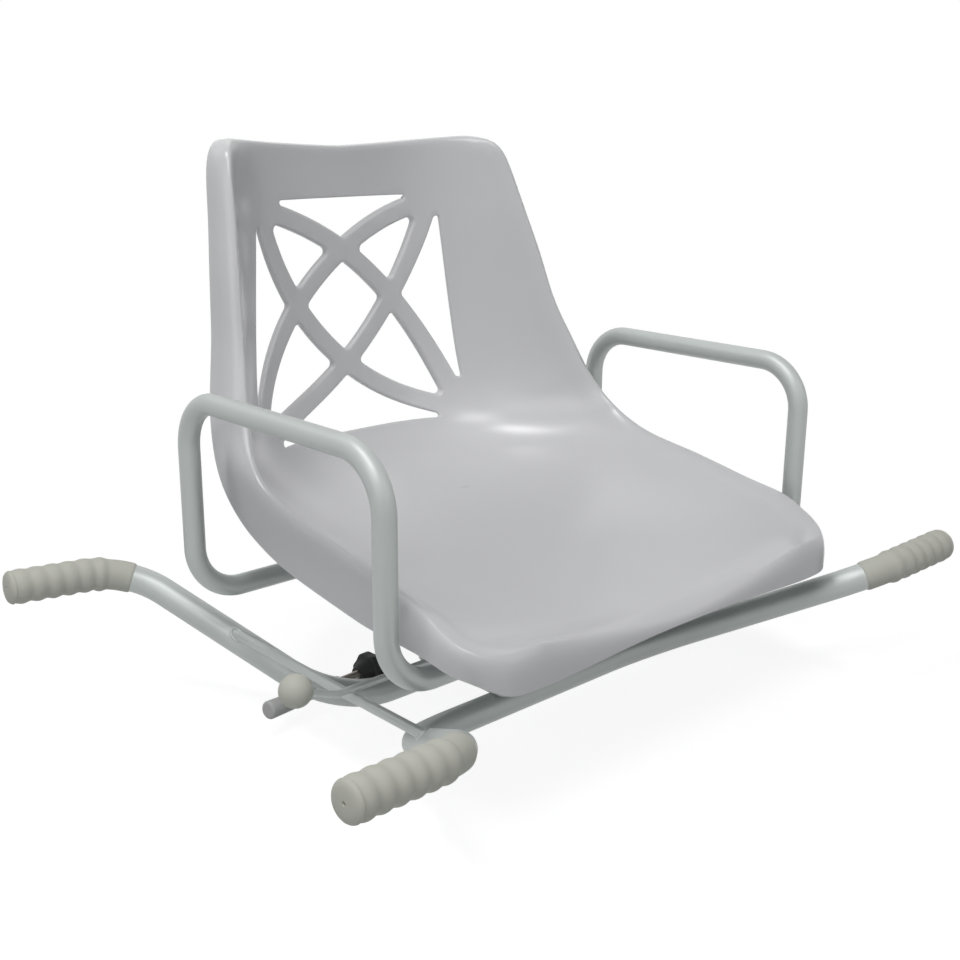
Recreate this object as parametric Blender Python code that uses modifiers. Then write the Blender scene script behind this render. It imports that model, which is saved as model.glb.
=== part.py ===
"""Swivel bath chair: a moulded seat that turns on a steel frame hung across a bath.

Metres, +Z up. The origin lies on the swivel axis, level with the underside of the frame.
The chair faces -Y, and its left and right sides are mirror images across the YZ plane.
"""

import math

import bmesh
import bpy
from mathutils import Matrix, Vector

# Clearances
SEAT_GAP = 0.0003
RUNNING_GAP = 0.0003

# Frame tubes: a level cross tube, two rising arms and two grips that toe out
TUBE_RADIUS = 0.0127
TUBE_WALL = 0.0015
CROSS_TUBE_Y = 0.0468
LOWER_CORNER_X = 0.1529
UPPER_CORNER = (0.2532, 0.2370)
UPPER_CORNER_RISE = 0.1041
GRIP_TIP = (0.3650, 0.2450)
GRIP_TIP_RISE = 0.1104
LOWER_BEND_RADIUS = 0.089
UPPER_BEND_RADIUS = 0.073
TUBE_SIDES = 12
BEND_STEP = math.radians(12.5)

# Brace rods between the front and the rear arms
BRACE_RADIUS = 0.0045
BRACE_ARM_SHARE = 0.52
BRACE_LIFT = 0.0033
BRACE_CUT_LENGTH = 0.120

# Grips: a plain cuff in the bend, then ribs, and a closed tip with a vent
GRIP_CUFF_RADIUS = 0.0140
GRIP_CREST_RADIUS = 0.0157
GRIP_GROOVE_RADIUS = 0.0143
GRIP_START_ANGLE = math.radians(25)
GRIP_CUFF_LENGTH = 0.023
GRIP_RIB_PITCH = 0.0142
GRIP_RIB_CREST_SHARE = 0.5
GRIP_STATION_GAP = 0.004
GRIP_TIP_THICKNESS = 0.0065
GRIP_SHOULDER = 0.0045
GRIP_SHOULDER_RADIUS = 0.0153
GRIP_TIP_ROUNDING = ((0.0016, 0.0135), (0.0000, 0.0086))
GRIP_VENT_RADIUS = 0.0018
GRIP_VENT_DEPTH = 0.0030

# Pedestal stack, from the base plate up
PLATE_CORNER_RADIUS = 0.012
BASE_PLATE_SIZE = (0.108, 0.124)
BASE_PLATE_THICKNESS = 0.005
PEDESTAL_RADIUS = 0.030
PEDESTAL_WALL = 0.003
PEDESTAL_HEIGHT = 0.041
BEARING_PLATE_RADIUS = 0.042
BEARING_PLATE_THICKNESS = 0.004
THRUST_WASHER_RADIUS = 0.040
THRUST_WASHER_THICKNESS = 0.003
INDEX_DISC_RADIUS = 0.046
INDEX_DISC_THICKNESS = 0.006
NOTCH_COUNT = 4
NOTCH_WIDTH = 0.013
NOTCH_DEPTH = 0.008
HUB_RADIUS = 0.025
SWIVEL_PLATE_SIZE = (0.170, 0.286)
SWIVEL_PLATE_THICKNESS = 0.004

# Kingpin
KINGPIN_RADIUS = 0.008
KINGPIN_HEAD_WIDTH = 0.024
KINGPIN_HEAD_HEIGHT = 0.010
KINGPIN_WASHER_RADIUS = 0.017
KINGPIN_WASHER_THICKNESS = 0.002
KINGPIN_NUT_HEIGHT = 0.010
KINGPIN_END = 0.003

# Armrests
ARMREST_RADIUS = 0.00915
ARMREST_WALL = 0.0015
ARMREST_X = 0.2505
ARMREST_FRONT_Y = -0.1445
ARMREST_REAR_Y = 0.1160
ARMREST_BAR_Z = 0.1239
ARMREST_TOP_Z = 0.2997
ARMREST_BEND_RADIUS = 0.0435
ARMREST_INNER_END = 0.014
ARMREST_SIDES = 10
ARMREST_BEND_STEP = math.radians(18)

# Locking lever: its latch bar is cranked, so that the rod lies level with X while the bar is free
LEVER_PIVOT = (-0.085, -0.054)
LEVER_EAR_RADIUS = 0.015
LEVER_BAR_WIDTH = 0.012
LEVER_BAR_THICKNESS = 0.005
LEVER_BAR_OUTER_END = -0.105
LEVER_BAR_INNER_END = 0.010
LEVER_TOOTH_WIDTH = 0.010
LEVER_TOOTH_ENGAGEMENT = 0.007
LEVER_SWING = math.radians(6.5)
PIVOT_RADIUS = 0.004
PIVOT_HEAD_WIDTH = 0.013
PIVOT_HEAD_HEIGHT = 0.005
PIVOT_NUT_HEIGHT = 0.0065
PIVOT_THREAD_END = 0.00125
PIVOT_WASHER_RADIUS = 0.0075
LEVER_ROD_RADIUS = 0.003
LEVER_ROD_Y = -0.052
LEVER_BALL_CENTRE = (-0.266, -0.051, 0.0977)
LEVER_BALL_RADIUS = 0.0135
LEVER_BALL_SOCKET = 0.010
LEVER_RISE_START = -0.228
LEVER_BEND_RADIUS = 0.025

# Compression spring on the lever's pivot: it presses the latch bar down on its washer
SPRING_WIRE_RADIUS = 0.0006
SPRING_COIL_RADIUS = 0.0056
SPRING_TURNS = 3
SPRING_PITCH = 0.0022
SPRING_STEPS_PER_TURN = 10

# Stabilisers: a threaded screw through each rear bend, pushing a foot outwards
STABILISER_BEND_ANGLE = math.radians(42.27)
STABILISER_HEADING = math.radians(9)
STABILISER_PITCH = math.radians(3)
SCREW_RADIUS = 0.004
BUSH_RADIUS = 0.006
BUSH_OUTER_END = 0.024
BUSH_INNER_END = 0.019
FOOT_RADIUS = 0.0082
FOOT_INNER_RADIUS = 0.0076
FOOT_INNER_END = 0.040
FOOT_LENGTH = 0.0285
FOOT_SOCKET = 0.016
FOOT_EDGE = 0.0022
KNOB_HUB_START = 0.044
KNOB_HUB_LENGTH = 0.011
KNOB_HUB_RADIUS = 0.0075
KNOB_NECK_RADIUS = 0.0125
KNOB_HEAD_LENGTH = 0.012
KNOB_LOBES = 6
KNOB_STEPS_PER_LOBE = 6
KNOB_RADIUS = 0.0168
KNOB_LOBE_DEPTH = 0.0020
KNOB_EDGE = 0.0016
KNOB_SOCKET = 0.016

# Seat shell, in its own proportions: half width, front edge, back face, pan and top edge
SEAT_HALF_WIDTH = 0.2240
SEAT_FRONT_Y = -0.2130
SEAT_BACK_Y = 0.2310
SEAT_PAN_Z = 0.1417
SEAT_TOP_Z = 0.4937
SEAT_WALL = 0.0040
FLANGE_UNIT = 0.01
SEAT_ROWS = 28
SEAT_COLUMNS = 16
COLUMN_CROWDING = 0.35
BACK_START = 0.6
HALVINGS = 40
FLANGE_STEPS = (0.12, 0.40, 1.0)
FLANGE_ROLL_POWER = 3
FLANGE_DROP_POWER = 1.4

# Back lattice: two crossed pairs of arcs between the corners of a window, leaving nine openings
WINDOW_TOP_SHARE = 0.8631
WINDOW_BOTTOM_SHARE = 0.2031
WINDOW_TOP_WIDTH_SHARE = 0.4888
WINDOW_BOTTOM_WIDTH_SHARE = 0.5915
WINDOW_TOP_Z = SEAT_PAN_Z + WINDOW_TOP_SHARE * (SEAT_TOP_Z - SEAT_PAN_Z)
WINDOW_BOTTOM_Z = SEAT_PAN_Z + WINDOW_BOTTOM_SHARE * (SEAT_TOP_Z - SEAT_PAN_Z)
WINDOW_TOP_HALF_WIDTH = WINDOW_TOP_WIDTH_SHARE * SEAT_HALF_WIDTH
WINDOW_BOTTOM_HALF_WIDTH = WINDOW_BOTTOM_WIDTH_SHARE * SEAT_HALF_WIDTH
LATTICE_RISE_SHARE = 0.2161
LATTICE_ARC_RISE = LATTICE_RISE_SHARE * (WINDOW_TOP_Z - WINDOW_BOTTOM_Z)
LATTICE_END_INSET = 0.0063
LATTICE_BAR_WIDTH = 0.0196
LATTICE_BAR_DEPTH = 0.0090
LATTICE_CORNER_RADIUS = 0.0050
LATTICE_SKIN = 0.0012
LATTICE_LAP = 0.0040
LATTICE_TRIM = 0.0005
LATTICE_ROUND_STEPS = 3
CORNER_ROUNDS = 30
LATTICE_ARC_STEP = 0.016
LATTICE_BLOCK_CELLS = (12, 8)
LATTICE_BLOCK_MARGIN = 3 * LATTICE_LAP
OPENING_TOP = 0.93
OPENING_BOTTOM = 0.06
OPENING_MIDDLE = 0.55
OPENING_SIDE = 0.79
OPENING_LEAF = (0.43, 0.78, 0.27)
LATTICE_CUTTER_HALF_DEPTH = 0.111

# Seat screws and their bosses
SEAT_SCREW_X = 0.055
SEAT_SCREW_RADIUS = 0.003
SEAT_SCREW_HEAD_WIDTH = 0.010
SEAT_SCREW_HEAD_HEIGHT = 0.004
BOSS_RADIUS = 0.011
BOSS_DRAFT = 0.0015
BOSS_SKIN = 0.0020
FRONT_SCREW_DEPTH = 0.0060
REAR_SCREW_DEPTH = 0.0200

# Heights of the stack
CROSS_TUBE_Z = TUBE_RADIUS
BASE_PLATE_Z = CROSS_TUBE_Z + TUBE_RADIUS + SEAT_GAP
PEDESTAL_Z = BASE_PLATE_Z + BASE_PLATE_THICKNESS + SEAT_GAP
BEARING_PLATE_Z = PEDESTAL_Z + PEDESTAL_HEIGHT + SEAT_GAP
THRUST_WASHER_Z = BEARING_PLATE_Z + BEARING_PLATE_THICKNESS + SEAT_GAP
INDEX_DISC_Z = THRUST_WASHER_Z + THRUST_WASHER_THICKNESS + SEAT_GAP
HUB_Z = INDEX_DISC_Z + INDEX_DISC_THICKNESS + SEAT_GAP
SWIVEL_PLATE_TOP = ARMREST_BAR_Z - ARMREST_RADIUS - SEAT_GAP
SWIVEL_PLATE_Z = SWIVEL_PLATE_TOP - SWIVEL_PLATE_THICKNESS
KINGPIN_WASHER_Z = SWIVEL_PLATE_TOP + SEAT_GAP
KINGPIN_NUT_Z = KINGPIN_WASHER_Z + KINGPIN_WASHER_THICKNESS + SEAT_GAP
LEVER_BAR_Z = INDEX_DISC_Z + (INDEX_DISC_THICKNESS - LEVER_BAR_THICKNESS) / 2
LEVER_BAR_MIDDLE = LEVER_BAR_Z + LEVER_BAR_THICKNESS / 2
LEVER_BAR_TOP = LEVER_BAR_Z + LEVER_BAR_THICKNESS
SPRING_HEIGHT = SPRING_TURNS * SPRING_PITCH + 2 * SPRING_WIRE_RADIUS
PIVOT_HEAD_Z = LEVER_BAR_TOP + SPRING_HEIGHT + 2 * SEAT_GAP
SCREW_PLATE_Z = SWIVEL_PLATE_Z - SEAT_GAP

PAINTED_STEEL = ("painted_steel", (0.62, 0.66, 0.64), 0.32, 0.0)
ZINC_STEEL = ("zinc_steel", (0.55, 0.55, 0.53), 0.35, 1.0)
DARK_THREAD = ("dark_thread", (0.20, 0.19, 0.17), 0.40, 1.0)
SEAT_PLASTIC = ("seat_plastic", (0.80, 0.80, 0.81), 0.35, 0.0)
IVORY_PLASTIC = ("ivory_plastic", (0.72, 0.72, 0.64), 0.50, 0.0)
GREY_PLASTIC = ("grey_plastic", (0.60, 0.60, 0.59), 0.55, 0.0)
BLACK_PLASTIC = ("black_plastic", (0.02, 0.02, 0.02), 0.45, 0.0)
NYLON = ("nylon", (0.85, 0.84, 0.78), 0.50, 0.0)


def clear_scene():
    """Remove whatever the scene holds."""
    for obj in list(bpy.data.objects):
        bpy.data.objects.remove(obj, do_unlink=True)


def collection(name):
    """A collection linked to the scene."""
    made = bpy.data.collections.new(name)
    bpy.context.scene.collection.children.link(made)
    return made


clear_scene()
PARTS = collection("swivel_bath_chair")
CUTTERS = collection("cutters")


def finish(obj, look):
    """Give an object its own material."""
    name, colour, roughness, metallic = look
    material = bpy.data.materials.new(f"{name}_{obj.name}")
    material.use_nodes = True
    shader = material.node_tree.nodes["Principled BSDF"]
    shader.inputs["Base Color"].default_value = (*colour, 1.0)
    shader.inputs["Roughness"].default_value = roughness
    shader.inputs["Metallic"].default_value = metallic
    material.diffuse_color = (*colour, 1.0)
    obj.data.materials.clear()
    obj.data.materials.append(material)
    return obj


def place(obj, look=None, smooth=True):
    """Link an object as a part with a look, or as a hidden cutter without one."""
    if look is None:
        CUTTERS.objects.link(obj)
        obj.hide_render = True
        obj.display_type = "WIRE"
        return obj
    PARTS.objects.link(obj)
    if smooth and obj.type == "MESH":
        obj.data.shade_smooth()
        obj.data.set_sharp_from_angle(angle=math.radians(35))
    return finish(obj, look)


def carried_by(obj, axis_empty):
    """Parent a part to the empty on its joint's axis, where it lies."""
    obj.parent = axis_empty
    obj.matrix_parent_inverse = axis_empty.matrix_world.inverted()
    return obj


def axis_empty(name, matrix):
    """An empty on a joint's axis."""
    empty = bpy.data.objects.new(name, None)
    empty.empty_display_size = 0.03
    empty.matrix_world = matrix
    PARTS.objects.link(empty)
    bpy.context.view_layer.update()
    return empty


def boolean(obj, cutter, operation="DIFFERENCE", solver="EXACT"):
    """Add a Boolean modifier that cuts or joins a mesh."""
    modifier = obj.modifiers.new(f"{operation.lower()}_{cutter.name}", "BOOLEAN")
    modifier.operation = operation
    modifier.solver = solver
    modifier.object = cutter
    return obj


def curve_object(name, kind, extrude=0.0, bevel=0.0, bevel_resolution=0):
    """An empty curve object."""
    data = bpy.data.curves.new(name, "CURVE")
    data.dimensions = kind
    data.extrude = extrude
    data.bevel_depth = bevel
    data.bevel_resolution = bevel_resolution
    return bpy.data.objects.new(name, data)


def add_spline(data, points, radii=None, cyclic=False):
    """Add a poly spline through the points."""
    spline = data.splines.new("POLY")
    spline.points.add(len(points) - 1)
    for index, point in enumerate(points):
        spline.points[index].co = (*point, 1.0) if len(point) == 3 else (*point, 0.0, 1.0)
        if radii is not None:
            spline.points[index].radius = radii[index]
    spline.use_cyclic_u = cyclic
    return spline


def mesh_from_curve(obj):
    """Turn a curve object that is in no collection into a mesh object, with its seams welded."""
    CUTTERS.objects.link(obj)
    bpy.context.view_layer.update()
    evaluated = obj.evaluated_get(bpy.context.evaluated_depsgraph_get())
    mesh = bpy.data.meshes.new_from_object(evaluated)
    name = obj.name
    matrix = obj.matrix_world.copy()
    bpy.data.objects.remove(obj, do_unlink=True)
    cage = bmesh.new()
    cage.from_mesh(mesh)
    bmesh.ops.remove_doubles(cage, verts=cage.verts, dist=0.00001)
    cage.to_mesh(mesh)
    cage.free()
    made = bpy.data.objects.new(name, mesh)
    made.matrix_world = matrix
    return made


def tube_mesh(name, points, radius, sides=TUBE_SIDES, radii=None, capped=True):
    """A tube along the points as a mesh object, its sides turned the same way up all along."""
    obj = curve_object(name, "3D", bevel=radius, bevel_resolution=(sides - 4) // 2)
    obj.data.twist_mode = "Z_UP"
    obj.data.use_fill_caps = capped
    add_spline(obj.data, points, radii)
    return mesh_from_curve(obj)


def pipe(name, points, radius, wall, look):
    """A tube with open ends and a wall."""
    obj = tube_mesh(name, points, radius, capped=False)
    solidify = obj.modifiers.new("wall", "SOLIDIFY")
    solidify.thickness = wall
    solidify.offset = -1
    solidify.use_even_offset = True
    return place(obj, look)


def rod(name, points, radius, look=None, sides=10):
    """A solid rod along the points."""
    return place(tube_mesh(name, points, radius, sides), look)


def along(start, direction, distance):
    """The point at a distance from the start."""
    return Vector(start) + Vector(direction).normalized() * distance


def pointing(location, direction):
    """The matrix that puts +Z along a direction at a location."""
    turn = Vector(direction).to_track_quat("Z", "Y").to_matrix().to_4x4()
    return Matrix.Translation(Vector(location)) @ turn


def cylinder(name, base, direction, radius, length, look=None, segments=24, top_radius=None):
    """A cylinder or cone from its base along a direction."""
    mesh = bpy.data.meshes.new(name)
    cage = bmesh.new()
    middle = Matrix.Translation((0, 0, length / 2))
    bmesh.ops.create_cone(
        cage,
        cap_ends=True,
        segments=segments,
        radius1=radius,
        radius2=radius if top_radius is None else top_radius,
        depth=length,
        matrix=middle,
    )
    cage.to_mesh(mesh)
    cage.free()
    obj = bpy.data.objects.new(name, mesh)
    obj.matrix_world = pointing(base, direction)
    return place(obj, look)


def circle(radius, centre=(0.0, 0.0), segments=32):
    """Points of a circle."""
    step = 2 * math.pi / segments
    return [
        (centre[0] + radius * math.cos(step * i), centre[1] + radius * math.sin(step * i))
        for i in range(segments)
    ]


def plate(name, outline, holes, bottom, thickness, look):
    """A flat plate with holes, lying level."""
    obj = curve_object(name, "2D", extrude=thickness / 2)
    obj.data.fill_mode = "BOTH"
    for points in (outline, *holes):
        add_spline(obj.data, points, cyclic=True)
    made = mesh_from_curve(obj)
    made.location.z = bottom + thickness / 2
    return place(made, look)


def ring(name, centre, outer, bore, bottom, thickness, look, segments=32):
    """A flat ring, washer or short tube."""
    outline = circle(outer, segments=segments)
    made = plate(name, outline, [circle(bore, segments=segments)], bottom, thickness, look)
    made.location.x, made.location.y = centre
    return made


def rounded_rectangle(width, depth, corner, steps=4, centre=(0.0, 0.0)):
    """Points of a rectangle with rounded corners."""
    points = []
    for quarter in range(4):
        sign_x = (1, -1, -1, 1)[quarter]
        sign_y = (1, 1, -1, -1)[quarter]
        middle_x = centre[0] + sign_x * (width / 2 - corner)
        middle_y = centre[1] + sign_y * (depth / 2 - corner)
        for step in range(steps + 1):
            angle = math.pi / 2 * (quarter + step / steps)
            points.append((middle_x + corner * math.cos(angle), middle_y + corner * math.sin(angle)))
    return points


def hex_bolt(name, seat, direction, width, head, radius, length, look):
    """A hexagon bolt: the head ends at the seat and the shank runs on along the direction."""
    across_corners = width / math.sqrt(3)
    shank = cylinder(f"{name}_shank", along(seat, direction, -head / 2), direction,
                     radius, length + head / 2, segments=16)
    bolt = cylinder(name, along(seat, direction, -head), direction, across_corners, head,
                    look, segments=6)
    return boolean(bolt, shank, "UNION")


def hex_nut(name, base, direction, width, height, bore, look):
    """A hexagon nut from its base along the direction."""
    nut = cylinder(name, base, direction, width / math.sqrt(3), height, look, segments=6)
    hole = cylinder(f"{name}_thread", along(base, direction, -height), direction, bore,
                    3 * height, segments=16)
    return boolean(nut, hole)


def rounded_path(corners, radii, step=BEND_STEP):
    """Points along straight runs whose corners are rounded by arcs."""
    points = [Vector(corners[0])]
    for before, corner, after, radius in zip(corners, corners[1:], corners[2:], radii):
        corner = Vector(corner)
        arriving = (corner - Vector(before)).normalized()
        leaving = (Vector(after) - corner).normalized()
        turn = arriving.angle(leaving)
        inward = (leaving - arriving * leaving.dot(arriving)).normalized()
        start = corner - arriving * radius * math.tan(turn / 2)
        count = max(2, math.ceil(turn / step))
        for i in range(count + 1):
            angle = turn * i / count
            points.append(
                start
                + arriving * radius * math.sin(angle)
                + inward * radius * (1 - math.cos(angle))
            )
    points.append(Vector(corners[-1]))
    return points


def path_lengths(points):
    """Distance along the path at each point."""
    lengths = [0.0]
    for a, b in zip(points, points[1:]):
        lengths.append(lengths[-1] + (b - a).length)
    return lengths


def point_on_path(points, lengths, distance):
    """The point at a distance along the path."""
    for i in range(len(points) - 1):
        if distance <= lengths[i + 1] or i == len(points) - 2:
            share = (distance - lengths[i]) / (lengths[i + 1] - lengths[i])
            return points[i].lerp(points[i + 1], share)
    return points[-1]


def key_spline(keys, at):
    """A smooth value through hand-set keys, each a place and a tuple of values."""
    places = [key[0] for key in keys]
    last = len(keys) - 1
    i = max(0, min(last - 1, sum(1 for place_ in places if place_ <= at) - 1))
    span = places[i + 1] - places[i]
    share = min(1.0, max(0.0, (at - places[i]) / span))

    def slope(k, axis):
        if k in (0, last):
            near = 1 if k == 0 else last
            return (keys[near][1][axis] - keys[near - 1][1][axis]) / (places[near] - places[near - 1])
        left = (keys[k][1][axis] - keys[k - 1][1][axis]) / (places[k] - places[k - 1])
        right = (keys[k + 1][1][axis] - keys[k][1][axis]) / (places[k + 1] - places[k])
        if left * right <= 0:
            return 0.0
        return 2 * left * right / (left + right)

    values = []
    for axis in range(len(keys[0][1])):
        a, b = keys[i][1][axis], keys[i + 1][1][axis]
        ta, tb = slope(i, axis) * span, slope(i + 1, axis) * span
        s2, s3 = share * share, share**3
        values.append(
            a * (2 * s3 - 3 * s2 + 1) + ta * (s3 - 2 * s2 + share)
            + b * (3 * s2 - 2 * s3) + tb * (s3 - s2)
        )
    return values


# Frame


def frame_corners(front):
    """Corners of one frame tube's centreline, from its left tip to its right tip."""
    side = -1 if front else 1
    half = [
        (LOWER_CORNER_X, side * CROSS_TUBE_Y, CROSS_TUBE_Z),
        (UPPER_CORNER[0], side * UPPER_CORNER[1], CROSS_TUBE_Z + UPPER_CORNER_RISE),
        (GRIP_TIP[0], side * GRIP_TIP[1], CROSS_TUBE_Z + GRIP_TIP_RISE),
    ]
    return [(-x, y, z) for x, y, z in reversed(half)] + half


def frame_path(front):
    """Centreline of one frame tube, shortened to end inside its grips."""
    corners = [Vector(corner) for corner in frame_corners(front)]
    inset = GRIP_TIP_THICKNESS + SEAT_GAP
    corners[0] = along(corners[0], corners[1] - corners[0], inset)
    corners[-1] = along(corners[-1], corners[-2] - corners[-1], inset)
    radii = (UPPER_BEND_RADIUS, LOWER_BEND_RADIUS, LOWER_BEND_RADIUS, UPPER_BEND_RADIUS)
    return rounded_path(corners, radii)


def arm_direction(side_x, side_y):
    """Direction of an arm from its lower to its upper corner."""
    rise = Vector((UPPER_CORNER[0] - LOWER_CORNER_X, UPPER_CORNER[1] - CROSS_TUBE_Y, UPPER_CORNER_RISE))
    return Vector((side_x * rise.x, side_y * rise.y, rise.z))


def make_brace(name, side_x):
    """A rod between the front and the rear arm, its ends fitted to the arms."""
    rise = arm_direction(side_x, 1)
    foot = Vector((side_x * LOWER_CORNER_X, CROSS_TUBE_Y, CROSS_TUBE_Z)) + rise * BRACE_ARM_SHARE
    height = foot.z + BRACE_LIFT
    ends = [(foot.x, -foot.y, height), (foot.x, foot.y, height)]
    brace = rod(name, ends, BRACE_RADIUS, PAINTED_STEEL, sides=12)
    for side_y in (-1, 1):
        direction = arm_direction(side_x, side_y)
        start = along((foot.x, side_y * foot.y, foot.z), direction, -BRACE_CUT_LENGTH / 2)
        arm = cylinder(f"{name}_seat_{side_y}", start, direction, TUBE_RADIUS + SEAT_GAP,
                       BRACE_CUT_LENGTH)
        boolean(brace, arm)
    return brace


def make_grip(name, path, from_end):
    """A ribbed sleeve over one end of a frame tube, reaching round into its bend."""
    points = list(path) if from_end else list(reversed(path))
    lengths = path_lengths(points)
    bend_points = math.ceil(bend_angle_upper() / BEND_STEP)
    bend_end = lengths[-2]
    bend_start = lengths[-2 - bend_points]
    mouth = bend_start + (bend_end - bend_start) * GRIP_START_ANGLE / bend_angle_upper()
    ribs_start = mouth + GRIP_CUFF_LENGTH
    tip = lengths[-1] + GRIP_TIP_THICKNESS + SEAT_GAP
    stations = {mouth: GRIP_CUFF_RADIUS, ribs_start: GRIP_CUFF_RADIUS}
    for length in lengths[-2 - bend_points : -1]:
        if mouth + GRIP_STATION_GAP < length < ribs_start - GRIP_STATION_GAP:
            stations[length] = GRIP_CUFF_RADIUS
    shoulder = tip - GRIP_SHOULDER
    rib_count = round((shoulder - ribs_start) / GRIP_RIB_PITCH)
    pitch = (shoulder - ribs_start) / rib_count
    for rib in range(rib_count):
        start = ribs_start + rib * pitch
        stations[start + GRIP_RIB_CREST_SHARE * pitch] = GRIP_CREST_RADIUS
        stations[start + pitch] = GRIP_GROOVE_RADIUS
    stations[shoulder] = GRIP_SHOULDER_RADIUS
    for back, radius in GRIP_TIP_ROUNDING:
        stations[tip - back] = radius
    spots = sorted(stations)
    outline = [point_on_path(points, lengths, spot) for spot in spots]
    scale = [stations[spot] / GRIP_CREST_RADIUS for spot in spots]
    grip = place(tube_mesh(name, outline, GRIP_CREST_RADIUS, radii=scale), IVORY_PLASTIC)
    bore_path = points[-3 - bend_points :]
    out = (bore_path[-1] - bore_path[-2]).normalized()
    bore_path[-1] = bore_path[-1] + out * SEAT_GAP
    bore = place(tube_mesh(f"{name}_bore", bore_path, TUBE_RADIUS + SEAT_GAP))
    vent_start = outline[-1] - out * GRIP_VENT_DEPTH
    vent = cylinder(f"{name}_vent", vent_start, out, GRIP_VENT_RADIUS, 2 * GRIP_VENT_DEPTH,
                    segments=10)
    boolean(grip, bore)
    return boolean(grip, vent)


def bend_angle_upper():
    """How far a frame tube turns between its arm and its grip."""
    corners = [Vector(corner) for corner in frame_corners(True)][3:]
    return (corners[1] - corners[0]).angle(corners[2] - corners[1])


def make_frame():
    """The two tubes, the braces and the four grips."""
    for front, end in ((True, "front"), (False, "rear")):
        path = frame_path(front)
        tube = pipe(f"{end}_frame_tube", path, TUBE_RADIUS, TUBE_WALL, PAINTED_STEEL)
        if not front:
            for side_x in (-1, 1):
                centre, direction = stabiliser_axis(side_x)
                hole = cylinder(f"rear_tube_hole_{side_x}", along(centre, direction, -2 * TUBE_RADIUS),
                                direction, BUSH_RADIUS + SEAT_GAP, 4 * TUBE_RADIUS, segments=16)
                boolean(tube, hole)
        make_grip(f"{end}_left_grip", path, from_end=False)
        make_grip(f"{end}_right_grip", path, from_end=True)
    make_brace("left_brace_rod", -1)
    make_brace("right_brace_rod", 1)


# Pedestal and swivel


def make_pedestal():
    """The welded pedestal with its bearing plate, thrust washer and kingpin."""
    bore = KINGPIN_RADIUS + RUNNING_GAP
    plate("base_plate", rounded_rectangle(*BASE_PLATE_SIZE, PLATE_CORNER_RADIUS), [],
          BASE_PLATE_Z, BASE_PLATE_THICKNESS, PAINTED_STEEL)
    ring("pedestal_tube", (0, 0), PEDESTAL_RADIUS, PEDESTAL_RADIUS - PEDESTAL_WALL,
         PEDESTAL_Z, PEDESTAL_HEIGHT, PAINTED_STEEL)
    plate("bearing_plate", ear_outline(), bearing_plate_holes(bore), BEARING_PLATE_Z,
          BEARING_PLATE_THICKNESS, PAINTED_STEEL)
    ring("thrust_washer", (0, 0), THRUST_WASHER_RADIUS, bore, THRUST_WASHER_Z,
         THRUST_WASHER_THICKNESS, NYLON)
    seat = (0, 0, BEARING_PLATE_Z - SEAT_GAP)
    end = KINGPIN_NUT_Z + KINGPIN_NUT_HEIGHT + KINGPIN_END
    hex_bolt("kingpin", seat, (0, 0, 1), KINGPIN_HEAD_WIDTH, KINGPIN_HEAD_HEIGHT,
             KINGPIN_RADIUS, end - seat[2], ZINC_STEEL)
    ring("kingpin_washer", (0, 0), KINGPIN_WASHER_RADIUS, bore, KINGPIN_WASHER_Z,
         KINGPIN_WASHER_THICKNESS, ZINC_STEEL, segments=24)
    hex_nut("kingpin_nut", (0, 0, KINGPIN_NUT_Z), (0, 0, 1), KINGPIN_HEAD_WIDTH,
            KINGPIN_NUT_HEIGHT, bore, ZINC_STEEL)


def ear_outline():
    """Outline of the bearing plate: a disc drawn out to an ear round the lever's pivot."""
    reach = Vector(LEVER_PIVOT)
    heading = math.atan2(reach.y, reach.x)
    spread = math.acos((BEARING_PLATE_RADIUS - LEVER_EAR_RADIUS) / reach.length)
    points = []
    disc_steps, ear_steps = 20, 8
    for i in range(disc_steps + 1):
        angle = heading + spread + (2 * math.pi - 2 * spread) * i / disc_steps
        points.append((BEARING_PLATE_RADIUS * math.cos(angle), BEARING_PLATE_RADIUS * math.sin(angle)))
    for i in range(ear_steps + 1):
        angle = heading - spread + 2 * spread * i / ear_steps
        points.append((reach.x + LEVER_EAR_RADIUS * math.cos(angle),
                       reach.y + LEVER_EAR_RADIUS * math.sin(angle)))
    return points


def bearing_plate_holes(bore):
    """The kingpin's hole and the pivot's."""
    return [circle(bore, segments=16), circle(PIVOT_RADIUS + SEAT_GAP, LEVER_PIVOT, 12)]


def disc_outline():
    """Outline of the index disc, with a notch for each locked direction."""
    half_notch = math.asin(NOTCH_WIDTH / 2 / INDEX_DISC_RADIUS)
    points = []
    rim_steps = 6
    for notch in range(NOTCH_COUNT):
        middle = -math.pi / 2 + notch * 2 * math.pi / NOTCH_COUNT
        outward = Vector((math.cos(middle), math.sin(middle)))
        across = Vector((-outward.y, outward.x))
        floor = INDEX_DISC_RADIUS - NOTCH_DEPTH
        points.append(outward * floor - across * NOTCH_WIDTH / 2)
        points.append(outward * floor + across * NOTCH_WIDTH / 2)
        stretch = 2 * math.pi / NOTCH_COUNT - 2 * half_notch
        for i in range(rim_steps + 1):
            angle = middle + half_notch + stretch * i / rim_steps
            points.append(Vector((math.cos(angle), math.sin(angle))) * INDEX_DISC_RADIUS)
    return [tuple(point) for point in points]


def seat_screw_places():
    """Where the seat screws stand: name, place and depth into the shell."""
    return [
        (f"{end}_{side}", (sign * SEAT_SCREW_X, y), depth)
        for end, y, depth in (("front", ARMREST_FRONT_Y, FRONT_SCREW_DEPTH),
                              ("rear", ARMREST_REAR_Y, REAR_SCREW_DEPTH))
        for side, sign in (("left", -1), ("right", 1))
    ]


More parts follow.
